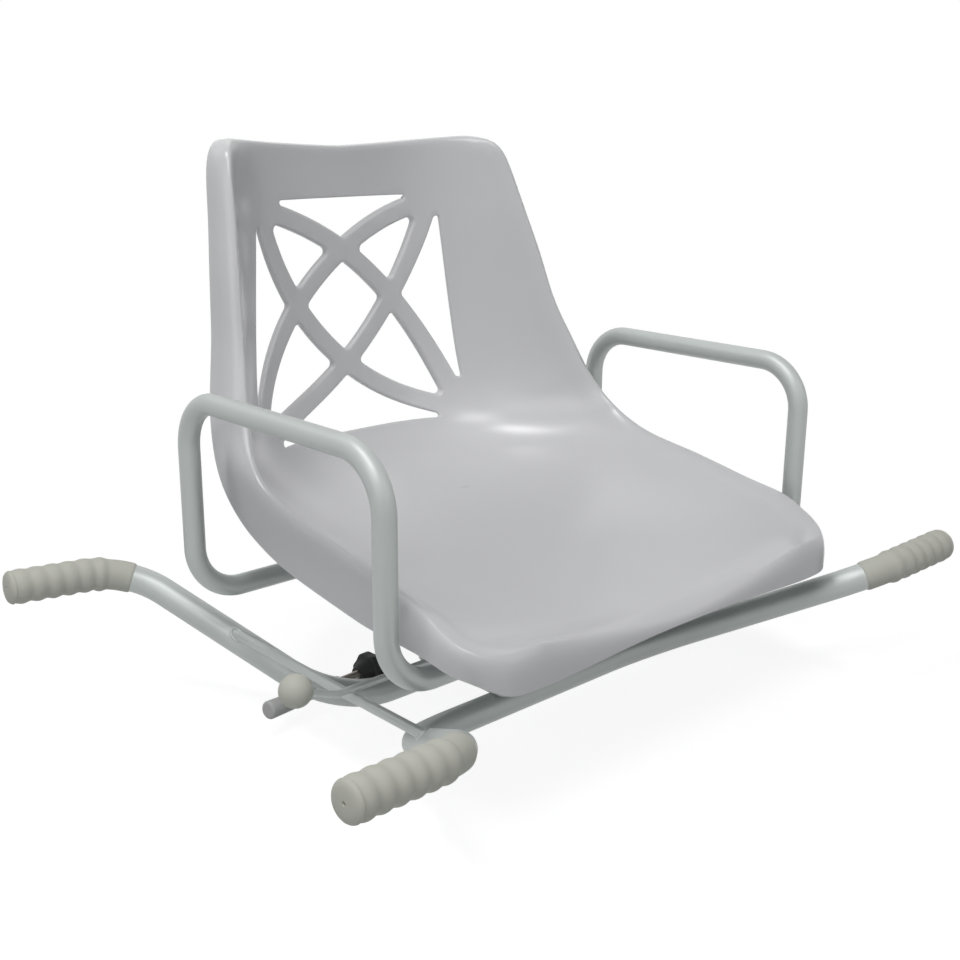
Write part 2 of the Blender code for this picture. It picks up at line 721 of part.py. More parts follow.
def make_swivel():
    """The turning parts under the seat, with the armrests and the screws that hold them."""
    bore = KINGPIN_RADIUS + RUNNING_GAP
    axis = axis_empty("seat_axis", Matrix.Translation((0, 0, INDEX_DISC_Z)))
    screw_hole = SEAT_SCREW_RADIUS + SEAT_GAP
    holes = [circle(bore, segments=16)]
    holes += [circle(screw_hole, spot, 12) for _, spot, _ in seat_screw_places()]
    middle_y = (ARMREST_FRONT_Y + ARMREST_REAR_Y) / 2
    outline = rounded_rectangle(*SWIVEL_PLATE_SIZE, PLATE_CORNER_RADIUS, centre=(0, middle_y))
    moving = [
        plate("index_disc", disc_outline(), [circle(bore, segments=16)], INDEX_DISC_Z,
              INDEX_DISC_THICKNESS, ZINC_STEEL),
        ring("hub_spacer", (0, 0), HUB_RADIUS, bore, HUB_Z, SWIVEL_PLATE_Z - SEAT_GAP - HUB_Z,
             PAINTED_STEEL, segments=24),
        plate("swivel_plate", outline, holes, SWIVEL_PLATE_Z, SWIVEL_PLATE_THICKNESS,
              PAINTED_STEEL),
        make_armrest("left_armrest", -1),
        make_armrest("right_armrest", 1),
    ]
    for name, (x, y), depth in seat_screw_places():
        seat = (x, y, SCREW_PLATE_Z)
        top = ARMREST_BAR_Z + ARMREST_RADIUS + depth
        moving.append(hex_bolt(f"seat_screw_{name}", seat, (0, 0, 1), SEAT_SCREW_HEAD_WIDTH,
                               SEAT_SCREW_HEAD_HEIGHT, SEAT_SCREW_RADIUS, top - seat[2], ZINC_STEEL))
    moving.append(make_shell())
    for obj in moving:
        carried_by(obj, axis)


def make_armrest(name, side_x):
    """An armrest loop of one tube whose lower bars run in under the seat."""
    x = side_x * ARMREST_X
    inner = side_x * ARMREST_INNER_END
    corners = [
        (inner, ARMREST_FRONT_Y, ARMREST_BAR_Z),
        (x, ARMREST_FRONT_Y, ARMREST_BAR_Z),
        (x, ARMREST_FRONT_Y, ARMREST_TOP_Z),
        (x, ARMREST_REAR_Y, ARMREST_TOP_Z),
        (x, ARMREST_REAR_Y, ARMREST_BAR_Z),
        (inner, ARMREST_REAR_Y, ARMREST_BAR_Z),
    ]
    path = rounded_path(corners, [ARMREST_BEND_RADIUS] * 4, step=ARMREST_BEND_STEP)
    armrest = armrest_pipe(name, path)
    for end, y in (("front", ARMREST_FRONT_Y), ("rear", ARMREST_REAR_Y)):
        spot = (side_x * SEAT_SCREW_X, y, ARMREST_BAR_Z - 2 * ARMREST_RADIUS)
        hole = cylinder(f"{name}_{end}_hole", spot, (0, 0, 1), SEAT_SCREW_RADIUS + SEAT_GAP,
                        4 * ARMREST_RADIUS, segments=12)
        boolean(armrest, hole)
    return armrest


def armrest_pipe(name, path):
    """The armrest's open tube; it runs upright in places, so its sides turn the least."""
    obj = curve_object(name, "3D", bevel=ARMREST_RADIUS, bevel_resolution=(ARMREST_SIDES - 4) // 2)
    add_spline(obj.data, path)
    made = mesh_from_curve(obj)
    solidify = made.modifiers.new("wall", "SOLIDIFY")
    solidify.thickness = ARMREST_WALL
    solidify.offset = -1
    solidify.use_even_offset = True
    return place(made, PAINTED_STEEL)


# Seat shell: keys run from the front edge (0) over the pan and the turn to the top edge (1).
# Lengths are shares of the shell's own driving sizes: y from front edge to back face,
# z from pan to top edge, x of the half width. The flange's keys are in its own unit of length.

CENTRE_KEYS = (
    (0.00, (0.000, 0.000)),
    (0.10, (0.034, 0.004)),
    (0.20, (0.105, 0.003)),
    (0.30, (0.220, 0.006)),
    (0.40, (0.400, 0.018)),
    (0.50, (0.610, 0.041)),
    (0.57, (0.750, 0.071)),
    (0.63, (0.862, 0.111)),
    (0.68, (0.940, 0.170)),
    (0.73, (0.980, 0.264)),
    (0.79, (0.991, 0.400)),
    (0.86, (0.995, 0.590)),
    (0.93, (0.998, 0.780)),
    (0.97, (1.000, 0.930)),
    (1.00, (1.000, 1.000)),
)
CREST_KEYS = (
    (0.00, (0.730, 0.000, 0.057)),
    (0.04, (0.860, 0.004, 0.053)),
    (0.08, (0.930, 0.018, 0.055)),
    (0.12, (0.972, 0.040, 0.064)),
    (0.16, (0.995, 0.075, 0.082)),
    (0.22, (1.000, 0.131, 0.114)),
    (0.30, (0.990, 0.232, 0.139)),
    (0.40, (0.985, 0.360, 0.172)),
    (0.50, (0.974, 0.500, 0.204)),
    (0.58, (0.974, 0.592, 0.247)),
    (0.64, (0.955, 0.650, 0.304)),
    (0.69, (0.935, 0.684, 0.368)),
    (0.74, (0.915, 0.714, 0.450)),
    (0.80, (0.880, 0.752, 0.560)),
    (0.86, (0.845, 0.786, 0.700)),
    (0.91, (0.802, 0.824, 0.842)),
    (0.94, (0.775, 0.852, 0.940)),
    (0.965, (0.750, 0.869, 0.990)),
    (0.985, (0.713, 0.892, 1.016)),
    (1.00, (0.640, 0.926, 1.025)),
)
CURVE_KEYS = (
    (0.00, (2.0, 1.6)),
    (0.20, (2.2, 2.4)),
    (0.45, (2.6, 3.0)),
    (0.65, (3.2, 3.2)),
    (0.85, (3.6, 3.2)),
    (0.93, (3.6, 2.4)),
    (1.00, (3.6, 1.3)),
)
FLANGE_KEYS = (
    (0.00, (0.0, -0.9, 0.0, 0.0, 0.0, -3.2)),
    (0.04, (0.1, -0.8, 0.0, 0.0, 0.0, -3.1)),
    (0.08, (0.15, -0.45, 0.0, 0.0, 0.0, -2.6)),
    (0.12, (0.3, -0.2, 0.0, 0.0, 0.0, -2.35)),
    (0.16, (0.55, -0.1, 0.0, 0.0, 0.0, -2.45)),
    (0.22, (0.7, 0.0, 0.0, 0.0, -0.1, -3.0)),
    (0.35, (1.0, 0.0, 0.0, 0.0, -0.1, -4.0)),
    (0.50, (1.2, 0.0, 0.0, 0.0, 0.1, -4.25)),
    (0.58, (1.3, 0.0, 0.0, 0.0, 0.7, -4.0)),
    (0.63, (1.5, 0.0, 0.0, 0.0, 1.9, -3.45)),
    (0.675, (1.55, 0.0, 0.0, 0.0, 3.0, -2.4)),
    (0.72, (1.3, 0.0, 0.0, 0.0, 3.65, -1.2)),
    (0.76, (0.95, 0.0, 0.0, 0.0, 3.7, -0.4)),
    (0.80, (0.75, 0.0, 0.0, 0.0, 3.45, 0.0)),
    (0.90, (0.6, 0.0, 0.1, 0.0, 3.0, 0.0)),
    (0.95, (0.5, 0.0, 0.1, 0.0, 2.7, 0.0)),
    (0.98, (0.3, 0.0, 0.2, 0.0, 2.4, -0.1)),
    (1.00, (0.0, 0.0, 0.2, 0.0, 2.2, -0.2)),
)


def shell_point(at, across):
    """A point of the shell's top face: at runs 0 to 1 front to top, across -1 to 1."""
    centre_y, centre_z = key_spline(CENTRE_KEYS, at)
    width, crest_y, crest_z = key_spline(CREST_KEYS, at)
    power_y, power_z = key_spline(CURVE_KEYS, at)
    depth = SEAT_BACK_Y - SEAT_FRONT_Y
    height = SEAT_TOP_Z - SEAT_PAN_Z
    reach = abs(across)
    y = centre_y + (crest_y - centre_y) * reach**power_y
    z = centre_z + (crest_z - centre_z) * reach**power_z
    return Vector((
        across * width * SEAT_HALF_WIDTH,
        SEAT_FRONT_Y + y * depth,
        SEAT_PAN_Z + z * height,
    ))


def shell_at(x, along_y=None, along_z=None, low=0.0, high=1.0):
    """The shell's point at x and at a given y or z, found by halving the stretch."""
    for _ in range(HALVINGS):
        middle = (low + high) / 2
        width = key_spline(CREST_KEYS, middle)[0] * SEAT_HALF_WIDTH
        point = shell_point(middle, x / width)
        short = point.y < along_y if along_y is not None else point.z < along_z
        low, high = (middle, high) if short else (low, middle)
    return point


def flange_keys_at(at):
    """The flange's sideways roll and its drop at a place along the crest."""
    values = [value * FLANGE_UNIT for value in key_spline(FLANGE_KEYS, at)]
    return Vector(values[:3]), Vector(values[3:])


def shell_cage():
    """The shell's visible face as an open surface: a lofted dish and the flange round its crest."""
    cage = bmesh.new()
    grid = []
    for row in range(SEAT_ROWS + 1):
        at = row / SEAT_ROWS
        line = []
        for column in range(SEAT_COLUMNS + 1):
            across = 2 * column / SEAT_COLUMNS - 1
            across += COLUMN_CROWDING * (math.sin(across * math.pi / 2) - across)
            line.append(cage.verts.new(shell_point(at, across)))
        grid.append(line)
    for lower, upper in zip(grid, grid[1:]):
        for i in range(SEAT_COLUMNS):
            cage.faces.new((lower[i], lower[i + 1], upper[i + 1], upper[i]))
    rim = [(vert, 0.0) for vert in grid[0]]
    rim += [(grid[row][-1], row / SEAT_ROWS) for row in range(1, SEAT_ROWS)]
    rim += [(vert, 1.0) for vert in reversed(grid[-1])]
    rim += [(grid[row][0], row / SEAT_ROWS) for row in range(SEAT_ROWS - 1, 0, -1)]
    front_drop = crest_front_edge()
    loops = [[vert for vert, _ in rim]]
    for step in FLANGE_STEPS:
        loops.append([cage.verts.new(flange_point(vert.co, at, step, front_drop)) for vert, at in rim])
    for inner, outer in zip(loops, loops[1:]):
        count = len(inner)
        for i in range(count):
            j = (i + 1) % count
            cage.faces.new((inner[j], inner[i], outer[i], outer[j]))
    bmesh.ops.recalc_face_normals(cage, faces=cage.faces)
    return cage


def crest_front_edge():
    """Height of the front flange's straight lower edge."""
    return shell_point(0.0, 1.0).z + flange_keys_at(0.0)[1].z


def flange_point(crest, at, step, front_drop):
    """A point of the flange below or behind a point of the crest."""
    roll, drop = flange_keys_at(at)
    if at == 0.0:
        drop = Vector((0, 0, front_drop - crest.z))
    offset = roll * (1 - (1 - step) ** FLANGE_ROLL_POWER) + drop * step**FLANGE_DROP_POWER
    return Vector((crest.x + math.copysign(offset.x, crest.x), crest.y + offset.y, crest.z + offset.z))


class ArcEdge:
    """A circle's edge of an opening, seen from the front; outside is 1 where the opening lies outside."""

    def __init__(self, centre, radius, outside):
        self.centre = centre
        self.radius = radius
        self.outside = outside

    def inward(self, point):
        """Direction from the edge into the opening."""
        return (point - self.centre).normalized() * self.outside

    def depth(self, point):
        """How far a point lies inside the opening."""
        return ((point - self.centre).length - self.radius) * self.outside

    def run(self, start, end):
        """Points between two points of the edge."""
        first, last = start - self.centre, end - self.centre
        turn = first.angle_signed(last)
        count = max(1, math.ceil(abs(turn) * self.radius / LATTICE_ARC_STEP))
        return [self.centre + Matrix.Rotation(-turn * i / count, 2) @ first for i in range(1, count)]


class LineEdge:
    """A straight edge of an opening, through a point, with the direction into the opening."""

    def __init__(self, point, into):
        self.point = point
        self.into = into.normalized()

    def inward(self, point):
        """Direction from the edge into the opening."""
        return self.into

    def depth(self, point):
        """How far a point lies inside the opening."""
        return (point - self.point).dot(self.into)

    def run(self, start, end):
        """Points between two points of the edge."""
        count = max(1, math.ceil((end - start).length / LATTICE_ARC_STEP))
        return [start.lerp(end, i / count) for i in range(1, count)]


def inner_corner(first, second, near, inset):
    """The point next to another that lies as deep as the inset inside both edges."""
    point = near.copy()
    for _ in range(CORNER_ROUNDS):
        a, b = first.inward(point), second.inward(point)
        short_a, short_b = inset - first.depth(point), inset - second.depth(point)
        scale = a.x * b.y - a.y * b.x
        point += Vector(((short_a * b.y - short_b * a.y) / scale, (a.x * short_b - b.x * short_a) / scale))
    return point


def opening_outline(edges, near):
    """Outline of an opening whose edges are named in order, with rounded corners."""
    count = len(edges)
    middles = [
        inner_corner(edges[i], edges[(i + 1) % count], near, LATTICE_CORNER_RADIUS) for i in range(count)
    ]
    points = []
    for i, edge in enumerate(edges):
        start = middles[i - 1] - edge.inward(middles[i - 1]) * edge.depth(middles[i - 1])
        end = middles[i] - edge.inward(middles[i]) * edge.depth(middles[i])
        points += [start] + edge.run(start, end) + [end]
        following = edges[(i + 1) % count]
        first = end - middles[i]
        turn = first.angle_signed(-following.inward(middles[i]))
        for step in range(1, LATTICE_ROUND_STEPS):
            share = step / LATTICE_ROUND_STEPS
            points.append(middles[i] + Matrix.Rotation(-turn * share, 2) @ first)
    return [(point.x, point.y) for point in points]


def lattice_circle(falling, bulge):
    """Centre and radius of one lattice bar's middle line, seen from the front."""
    start = Vector((-WINDOW_TOP_HALF_WIDTH, WINDOW_TOP_Z))
    end = Vector((WINDOW_BOTTOM_HALF_WIDTH, WINDOW_BOTTOM_Z))
    chord = end - start
    normal = Vector((-chord.y, chord.x)).normalized() * bulge
    half = chord.length / 2
    radius = (half**2 + LATTICE_ARC_RISE**2) / (2 * LATTICE_ARC_RISE)
    centre = (start + end) / 2 - normal * (LATTICE_END_INSET + radius - LATTICE_ARC_RISE)
    if not falling:
        centre.x = -centre.x
    return centre, radius


def lattice_openings(trim=0.0, window_margin=0.0):
    """The nine openings: each a rough middle and its edges in order."""
    def bar(falling, bulge, side):
        centre, radius = lattice_circle(falling, bulge)
        return ArcEdge(centre, radius + side * (LATTICE_BAR_WIDTH / 2 + trim), side)

    top = LineEdge(Vector((0, WINDOW_TOP_Z + window_margin)), Vector((0, -1)))
    bottom = LineEdge(Vector((0, WINDOW_BOTTOM_Z - window_margin)), Vector((0, 1)))
    lean = Vector((WINDOW_TOP_Z - WINDOW_BOTTOM_Z, WINDOW_BOTTOM_HALF_WIDTH - WINDOW_TOP_HALF_WIDTH))
    left = LineEdge(Vector((-WINDOW_TOP_HALF_WIDTH - window_margin, WINDOW_TOP_Z)),
                    Vector((lean.x, -lean.y)))
    right = LineEdge(Vector((WINDOW_TOP_HALF_WIDTH + window_margin, WINDOW_TOP_Z)),
                     Vector((-lean.x, -lean.y)))
    falling_upper, falling_lower = (True, 1), (True, -1)
    rising_upper, rising_lower = (False, 1), (False, -1)
    def spot(across, up):
        height = WINDOW_TOP_Z - WINDOW_BOTTOM_Z
        return Vector((across * WINDOW_BOTTOM_HALF_WIDTH, WINDOW_BOTTOM_Z + up * height))

    outer = [
        (spot(0, OPENING_TOP), [top, bar(*falling_upper, 1), bar(*rising_upper, 1)]),
        (spot(0, OPENING_BOTTOM), [bottom, bar(*rising_lower, 1), bar(*falling_lower, 1)]),
        (spot(-OPENING_SIDE, OPENING_MIDDLE), [left, bar(*falling_lower, 1), bar(*rising_upper, 1)]),
        (spot(OPENING_SIDE, OPENING_MIDDLE), [right, bar(*falling_upper, 1), bar(*rising_lower, 1)]),
    ]
    across, high, low = OPENING_LEAF
    inner = [
        (spot(0, OPENING_MIDDLE), [bar(*falling_upper, -1), bar(*rising_lower, -1),
                                   bar(*falling_lower, -1), bar(*rising_upper, -1)]),
        (spot(-across, high), [bar(*falling_upper, -1), bar(*falling_lower, -1), bar(*rising_upper, 1)]),
        (spot(across, high), [bar(*rising_upper, -1), bar(*rising_lower, -1), bar(*falling_upper, 1)]),
        (spot(across, low), [bar(*falling_upper, -1), bar(*falling_lower, -1), bar(*rising_lower, 1)]),
        (spot(-across, low), [bar(*rising_upper, -1), bar(*rising_lower, -1), bar(*falling_lower, 1)]),
    ]
    return outer, inner


def back_face_y(x, z):
    """Where the front face of the back lies."""
    return shell_at(x, along_z=z, low=BACK_START).y


def opening_cutter(name, edges, near):
    """A prism through the back, with an opening's outline."""
    obj = curve_object(name, "2D", extrude=LATTICE_CUTTER_HALF_DEPTH)
    obj.data.fill_mode = "BOTH"
    add_spline(obj.data, opening_outline(edges, near), cyclic=True)
    made = mesh_from_curve(obj)
    made.matrix_world = Matrix.Translation((0, SEAT_BACK_Y, 0)) @ Matrix.Rotation(math.pi / 2, 4, "X")
    return place(made)


def lattice_block():
    """The depth of the lattice's bars, behind the wall: a block bent to the back, cut into bars."""
    across, up = LATTICE_BLOCK_CELLS
    cage = bmesh.new()
    layers = []
    for depth in (LATTICE_SKIN, LATTICE_BAR_DEPTH):
        layer = []
        for row in range(up + 1):
            z = WINDOW_BOTTOM_Z - LATTICE_LAP + (WINDOW_TOP_Z - WINDOW_BOTTOM_Z + 2 * LATTICE_LAP) * row / up
            share = (z - WINDOW_BOTTOM_Z) / (WINDOW_TOP_Z - WINDOW_BOTTOM_Z)
            half = WINDOW_BOTTOM_HALF_WIDTH + (WINDOW_TOP_HALF_WIDTH - WINDOW_BOTTOM_HALF_WIDTH) * share
            half += LATTICE_LAP
            for column in range(across + 1):
                x = half * (2 * column / across - 1)
                layer.append(cage.verts.new((x, back_face_y(x, z) + depth, z)))
        layers.append(layer)
    width = across + 1
    for layer in layers:
        for row in range(up):
            for column in range(across):
                i = row * width + column
                cage.faces.new((layer[i], layer[i + 1], layer[i + 1 + width], layer[i + width]))
    border = list(range(width)) + [row * width + across for row in range(1, up + 1)]
    border += [up * width + column for column in range(across - 1, -1, -1)]
    border += [row * width for row in range(up - 1, 0, -1)]
    front, back = layers
    for i, j in zip(border, border[1:] + border[:1]):
        cage.faces.new((front[i], front[j], back[j], back[i]))
    bmesh.ops.recalc_face_normals(cage, faces=cage.faces)
    mesh = bpy.data.meshes.new("lattice_block")
    cage.to_mesh(mesh)
    cage.free()
    block = place(bpy.data.objects.new("lattice_block", mesh))
    outer, _ = lattice_openings(LATTICE_TRIM, LATTICE_BLOCK_MARGIN)
    for index, (near, edges) in enumerate(outer):
        boolean(block, opening_cutter(f"block_opening_{index}", edges, near), solver="MANIFOLD")
    return block


def make_shell():
    """The moulded seat: dish, flange, lattice and the screw bosses under the pan."""
    mesh = bpy.data.meshes.new("seat_shell")
    cage = shell_cage()
    cage.to_mesh(mesh)
    cage.free()
    shell = place(bpy.data.objects.new("seat_shell", mesh), SEAT_PLASTIC)
    wall = shell.modifiers.new("wall", "SOLIDIFY")
    wall.thickness = SEAT_WALL
    wall.offset = -1
    wall.use_even_offset = False
    for name, (x, y), depth in seat_screw_places():
        pan = shell_at(x, along_y=y, high=BACK_START)
        bottom = ARMREST_BAR_Z + ARMREST_RADIUS + SEAT_GAP
        top = pan.z - SEAT_WALL / 2
        boss = cylinder(f"boss_{name}", (x, y, bottom), (0, 0, 1), BOSS_RADIUS - BOSS_DRAFT,
                        top - bottom, segments=20, top_radius=BOSS_RADIUS)
        hole_top = min(bottom + depth + RUNNING_GAP, pan.z - BOSS_SKIN)
        hole = cylinder(f"boss_hole_{name}", (x, y, bottom - depth), (0, 0, 1),
                        SEAT_SCREW_RADIUS + SEAT_GAP, hole_top - bottom + depth, segments=12)
        boolean(shell, boss, "UNION")
        boolean(shell, hole)
    boolean(shell, lattice_block(), "UNION", solver="MANIFOLD")
    outer, inner = lattice_openings()
    for index, (near, edges) in enumerate(outer + inner):
        boolean(shell, opening_cutter(f"back_opening_{index}", edges, near), solver="MANIFOLD")
    return shell


# Locking lever


def make_lever():
    """The cranked latch bar with its rod and ball, and the sprung pivot that carries it."""
    pivot_x, pivot_y = LEVER_PIVOT
    axis = axis_empty("lever_axis", Matrix.Translation((pivot_x, pivot_y, LEVER_BAR_MIDDLE)))
    bore = PIVOT_RADIUS + RUNNING_GAP
    inner_edge = pivot_y + LEVER_BAR_WIDTH / 2
    outer_edge = pivot_y - LEVER_BAR_WIDTH / 2
    tooth_tip = LEVER_TOOTH_ENGAGEMENT - INDEX_DISC_RADIUS
    crank = LEVER_BAR_WIDTH / 2 * math.tan(LEVER_SWING / 2)
    cranked = [swung_back(point) for point in (
        (pivot_x + crank, outer_edge),
        (LEVER_BAR_INNER_END, outer_edge),
        (LEVER_BAR_INNER_END, inner_edge),
        (LEVER_TOOTH_WIDTH / 2, inner_edge),
        (LEVER_TOOTH_WIDTH / 2, tooth_tip),
        (-LEVER_TOOTH_WIDTH / 2, tooth_tip),
        (-LEVER_TOOTH_WIDTH / 2, inner_edge),
        (pivot_x - crank, inner_edge),
    )]
    outline = [(LEVER_BAR_OUTER_END, outer_edge)] + cranked + [(LEVER_BAR_OUTER_END, inner_edge)]
    ball = Vector(LEVER_BALL_CENTRE)
    rise_start = Vector((LEVER_RISE_START, LEVER_ROD_Y, LEVER_BAR_MIDDLE))
    into_ball = (ball - rise_start).normalized()
    socket_end = ball - into_ball * (LEVER_BALL_RADIUS - LEVER_BALL_SOCKET)
    rod_start = (LEVER_BAR_OUTER_END - SEAT_GAP, LEVER_ROD_Y, LEVER_BAR_MIDDLE)
    rod_path = rounded_path([rod_start, rise_start, socket_end - into_ball * SEAT_GAP],
                            [LEVER_BEND_RADIUS], math.radians(6))
    moving = [
        plate("latch_bar", outline, [circle(bore, LEVER_PIVOT, 12)], LEVER_BAR_Z,
              LEVER_BAR_THICKNESS, ZINC_STEEL),
        rod("lever_rod", rod_path, LEVER_ROD_RADIUS, PAINTED_STEEL),
        make_ball(ball, into_ball, socket_end),
    ]
    for obj in moving:
        carried_by(obj, axis)
    make_spring()
    ring("lever_pivot_washer", LEVER_PIVOT, PIVOT_WASHER_RADIUS, bore,
         BEARING_PLATE_Z + BEARING_PLATE_THICKNESS + SEAT_GAP,
         LEVER_BAR_Z - BEARING_PLATE_Z - BEARING_PLATE_THICKNESS - 2 * SEAT_GAP, NYLON, segments=16)
    head_seat = (pivot_x, pivot_y, PIVOT_HEAD_Z)
    nut_base = BEARING_PLATE_Z - SEAT_GAP - PIVOT_NUT_HEIGHT
    hex_bolt("lever_pivot_bolt", head_seat, (0, 0, -1), PIVOT_HEAD_WIDTH, PIVOT_HEAD_HEIGHT,
             PIVOT_RADIUS, PIVOT_HEAD_Z - nut_base + PIVOT_THREAD_END, ZINC_STEEL)
    hex_nut("lever_pivot_nut", (pivot_x, pivot_y, nut_base), (0, 0, 1), PIVOT_HEAD_WIDTH,
            PIVOT_NUT_HEIGHT, bore, ZINC_STEEL)


def swung_back(point):
    """Where a point of the locked latch bar lies when the lever frees the seat."""
    reach = Vector(point) - Vector(LEVER_PIVOT)
    freed = Matrix.Rotation(-LEVER_SWING, 2) @ reach
    return (LEVER_PIVOT[0] + freed.x, LEVER_PIVOT[1] + freed.y)


def make_ball(centre, into_ball, socket_end):
    """The ball at the lever's end, with a socket for the rod."""
    mesh = bpy.data.meshes.new("lever_ball")
    cage = bmesh.new()
    bmesh.ops.create_uvsphere(cage, u_segments=18, v_segments=10, radius=LEVER_BALL_RADIUS)
    cage.to_mesh(mesh)
    cage.free()
    obj = bpy.data.objects.new("lever_ball", mesh)
    obj.location = centre
    ball = place(obj, IVORY_PLASTIC)
    start = socket_end - into_ball * 2 * LEVER_BALL_RADIUS
    hole = cylinder("ball_socket", start, into_ball, LEVER_ROD_RADIUS + SEAT_GAP,
                    2 * LEVER_BALL_RADIUS, segments=12)
    return boolean(ball, hole)


def make_spring():
    """The compression spring between the latch bar and the head of its pivot bolt."""
    centre = Vector((*LEVER_PIVOT, LEVER_BAR_TOP + SEAT_GAP + SPRING_WIRE_RADIUS))
    points = []
    for step in range(SPRING_TURNS * SPRING_STEPS_PER_TURN + 1):
        angle = 2 * math.pi * step / SPRING_STEPS_PER_TURN
        points.append(centre + Vector((
            SPRING_COIL_RADIUS * math.cos(angle),
            SPRING_COIL_RADIUS * math.sin(angle),
            SPRING_PITCH * step / SPRING_STEPS_PER_TURN,
        )))
    report_least_gap(points)
    return rod("pivot_spring", points, SPRING_WIRE_RADIUS, ZINC_STEEL, sides=6)


def report_least_gap(points):
    """Print the spring's least gap to itself, between points at least half a turn apart."""
    apart = SPRING_STEPS_PER_TURN // 2
    least = min(
        (points[j] - points[i]).length
        for i in range(len(points))
        for j in range(i + apart, len(points))
    )
    print(f"pivot_spring: least gap to itself {(least - 2 * SPRING_WIRE_RADIUS) * 1000:.2f} mm")


# Stabilisers


def stabiliser_axis(side_x):
    """Where a stabiliser screw crosses its tube's centreline, and its outward direction."""
    corner = Vector((side_x * LOWER_CORNER_X, CROSS_TUBE_Y, CROSS_TUBE_Z))
    outward = Vector((side_x, 0, 0))
    rise = arm_direction(side_x, 1).normalized()
    turn = outward.angle(rise)
    inward = (rise - outward * rise.dot(outward)).normalized()
    start = corner - outward * LOWER_BEND_RADIUS * math.tan(turn / 2)
    centre = (
        start
        + outward * LOWER_BEND_RADIUS * math.sin(STABILISER_BEND_ANGLE)
        + inward * LOWER_BEND_RADIUS * (1 - math.cos(STABILISER_BEND_ANGLE))
    )
    direction = Vector((
        side_x * math.cos(STABILISER_HEADING) * math.cos(STABILISER_PITCH),
        -math.sin(STABILISER_HEADING) * math.cos(STABILISER_PITCH),
        math.sin(STABILISER_PITCH),
    ))
    return centre, direction


def make_stabiliser(side, side_x):
    """One welded bush, the screw through it, its foot and its star knob."""
    centre, outward = stabiliser_axis(side_x)
    bore = SCREW_RADIUS + RUNNING_GAP
    bush = cylinder(f"{side}_screw_bush", along(centre, outward, -BUSH_INNER_END), outward,
                    BUSH_RADIUS, BUSH_INNER_END + BUSH_OUTER_END, PAINTED_STEEL, segments=16)
    thread = cylinder(f"{side}_bush_thread", along(centre, outward, -2 * BUSH_OUTER_END), outward,
                      bore, 4 * BUSH_OUTER_END, segments=16)
    boolean(bush, thread)
    foot_axis = axis_empty(f"{side}_foot_axis", pointing(along(centre, outward, FOOT_INNER_END), outward))
    carried_by(make_foot(side, centre, outward, bore), foot_axis)
    knob_end = KNOB_HUB_START + KNOB_SOCKET - SEAT_GAP
    screw_length = knob_end + FOOT_INNER_END + FOOT_SOCKET - SEAT_GAP
    screw = cylinder(f"{side}_screw", along(centre, outward, -knob_end), outward, SCREW_RADIUS,
                     screw_length, DARK_THREAD, segments=16)
    carried_by(screw, foot_axis)
    carried_by(make_knob(side, centre, outward, bore), foot_axis)


def make_foot(side, centre, outward, bore):
    """The foot: a short round cap with an edge, on the screw's outer end."""
    base = along(centre, outward, FOOT_INNER_END)
    foot = cylinder(f"{side}_foot", base, outward, FOOT_INNER_RADIUS, FOOT_LENGTH, GREY_PLASTIC,
                    segments=16, top_radius=FOOT_RADIUS)
    edge = foot.modifiers.new("edge", "BEVEL")
    edge.width = FOOT_EDGE
    edge.segments = 2
    edge.limit_method = "ANGLE"
    socket = cylinder(f"{side}_foot_socket", along(base, outward, -FOOT_SOCKET), outward, bore,
                      2 * FOOT_SOCKET, segments=16)
    return boolean(foot, socket)


def make_knob(side, centre, outward, bore):
    """The six-lobed knob with its tapered hub."""
    inward = -outward
    hub_base = along(centre, inward, KNOB_HUB_START)
    outline = []
    steps = KNOB_STEPS_PER_LOBE * KNOB_LOBES
    for i in range(steps):
        angle = 2 * math.pi * i / steps
        radius = KNOB_RADIUS - KNOB_EDGE - KNOB_LOBE_DEPTH * (1 - math.cos(KNOB_LOBES * angle)) / 2
        outline.append((radius * math.cos(angle), radius * math.sin(angle)))
    head = curve_object(f"{side}_star_knob", "2D", extrude=KNOB_HEAD_LENGTH / 2 - KNOB_EDGE,
                        bevel=KNOB_EDGE, bevel_resolution=1)
    head.data.fill_mode = "BOTH"
    add_spline(head.data, outline, cyclic=True)
    knob = mesh_from_curve(head)
    middle = KNOB_HUB_LENGTH + KNOB_HEAD_LENGTH / 2
    knob.matrix_world = pointing(along(hub_base, inward, middle), inward)
    place(knob, BLACK_PLASTIC)
    hub = cylinder(f"{side}_knob_hub", hub_base, inward, KNOB_HUB_RADIUS,
                   KNOB_HUB_LENGTH + KNOB_EDGE * 2, segments=20, top_radius=KNOB_NECK_RADIUS)
    socket = cylinder(f"{side}_knob_socket", along(hub_base, inward, -KNOB_SOCKET), inward, bore,
                      2 * KNOB_SOCKET, segments=16)
    boolean(knob, hub, "UNION")
    return boolean(knob, socket)


make_frame()
make_pedestal()
make_swivel()
make_lever()
make_stabiliser("left", -1)
make_stabiliser("right", 1)
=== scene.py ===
"""Looks of the swivel bath chair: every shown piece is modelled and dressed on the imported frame.

Metres, +Z up. The chair faces -Y and the swivel axis is the Z axis.
"""

import logging
import math
from collections.abc import Iterator, Sequence
from contextlib import contextmanager
from dataclasses import dataclass, field
from enum import Enum

import bmesh
import bpy
from mathutils import Matrix, Vector
from mathutils.bvhtree import BVHTree
from mathutils.kdtree import KDTree


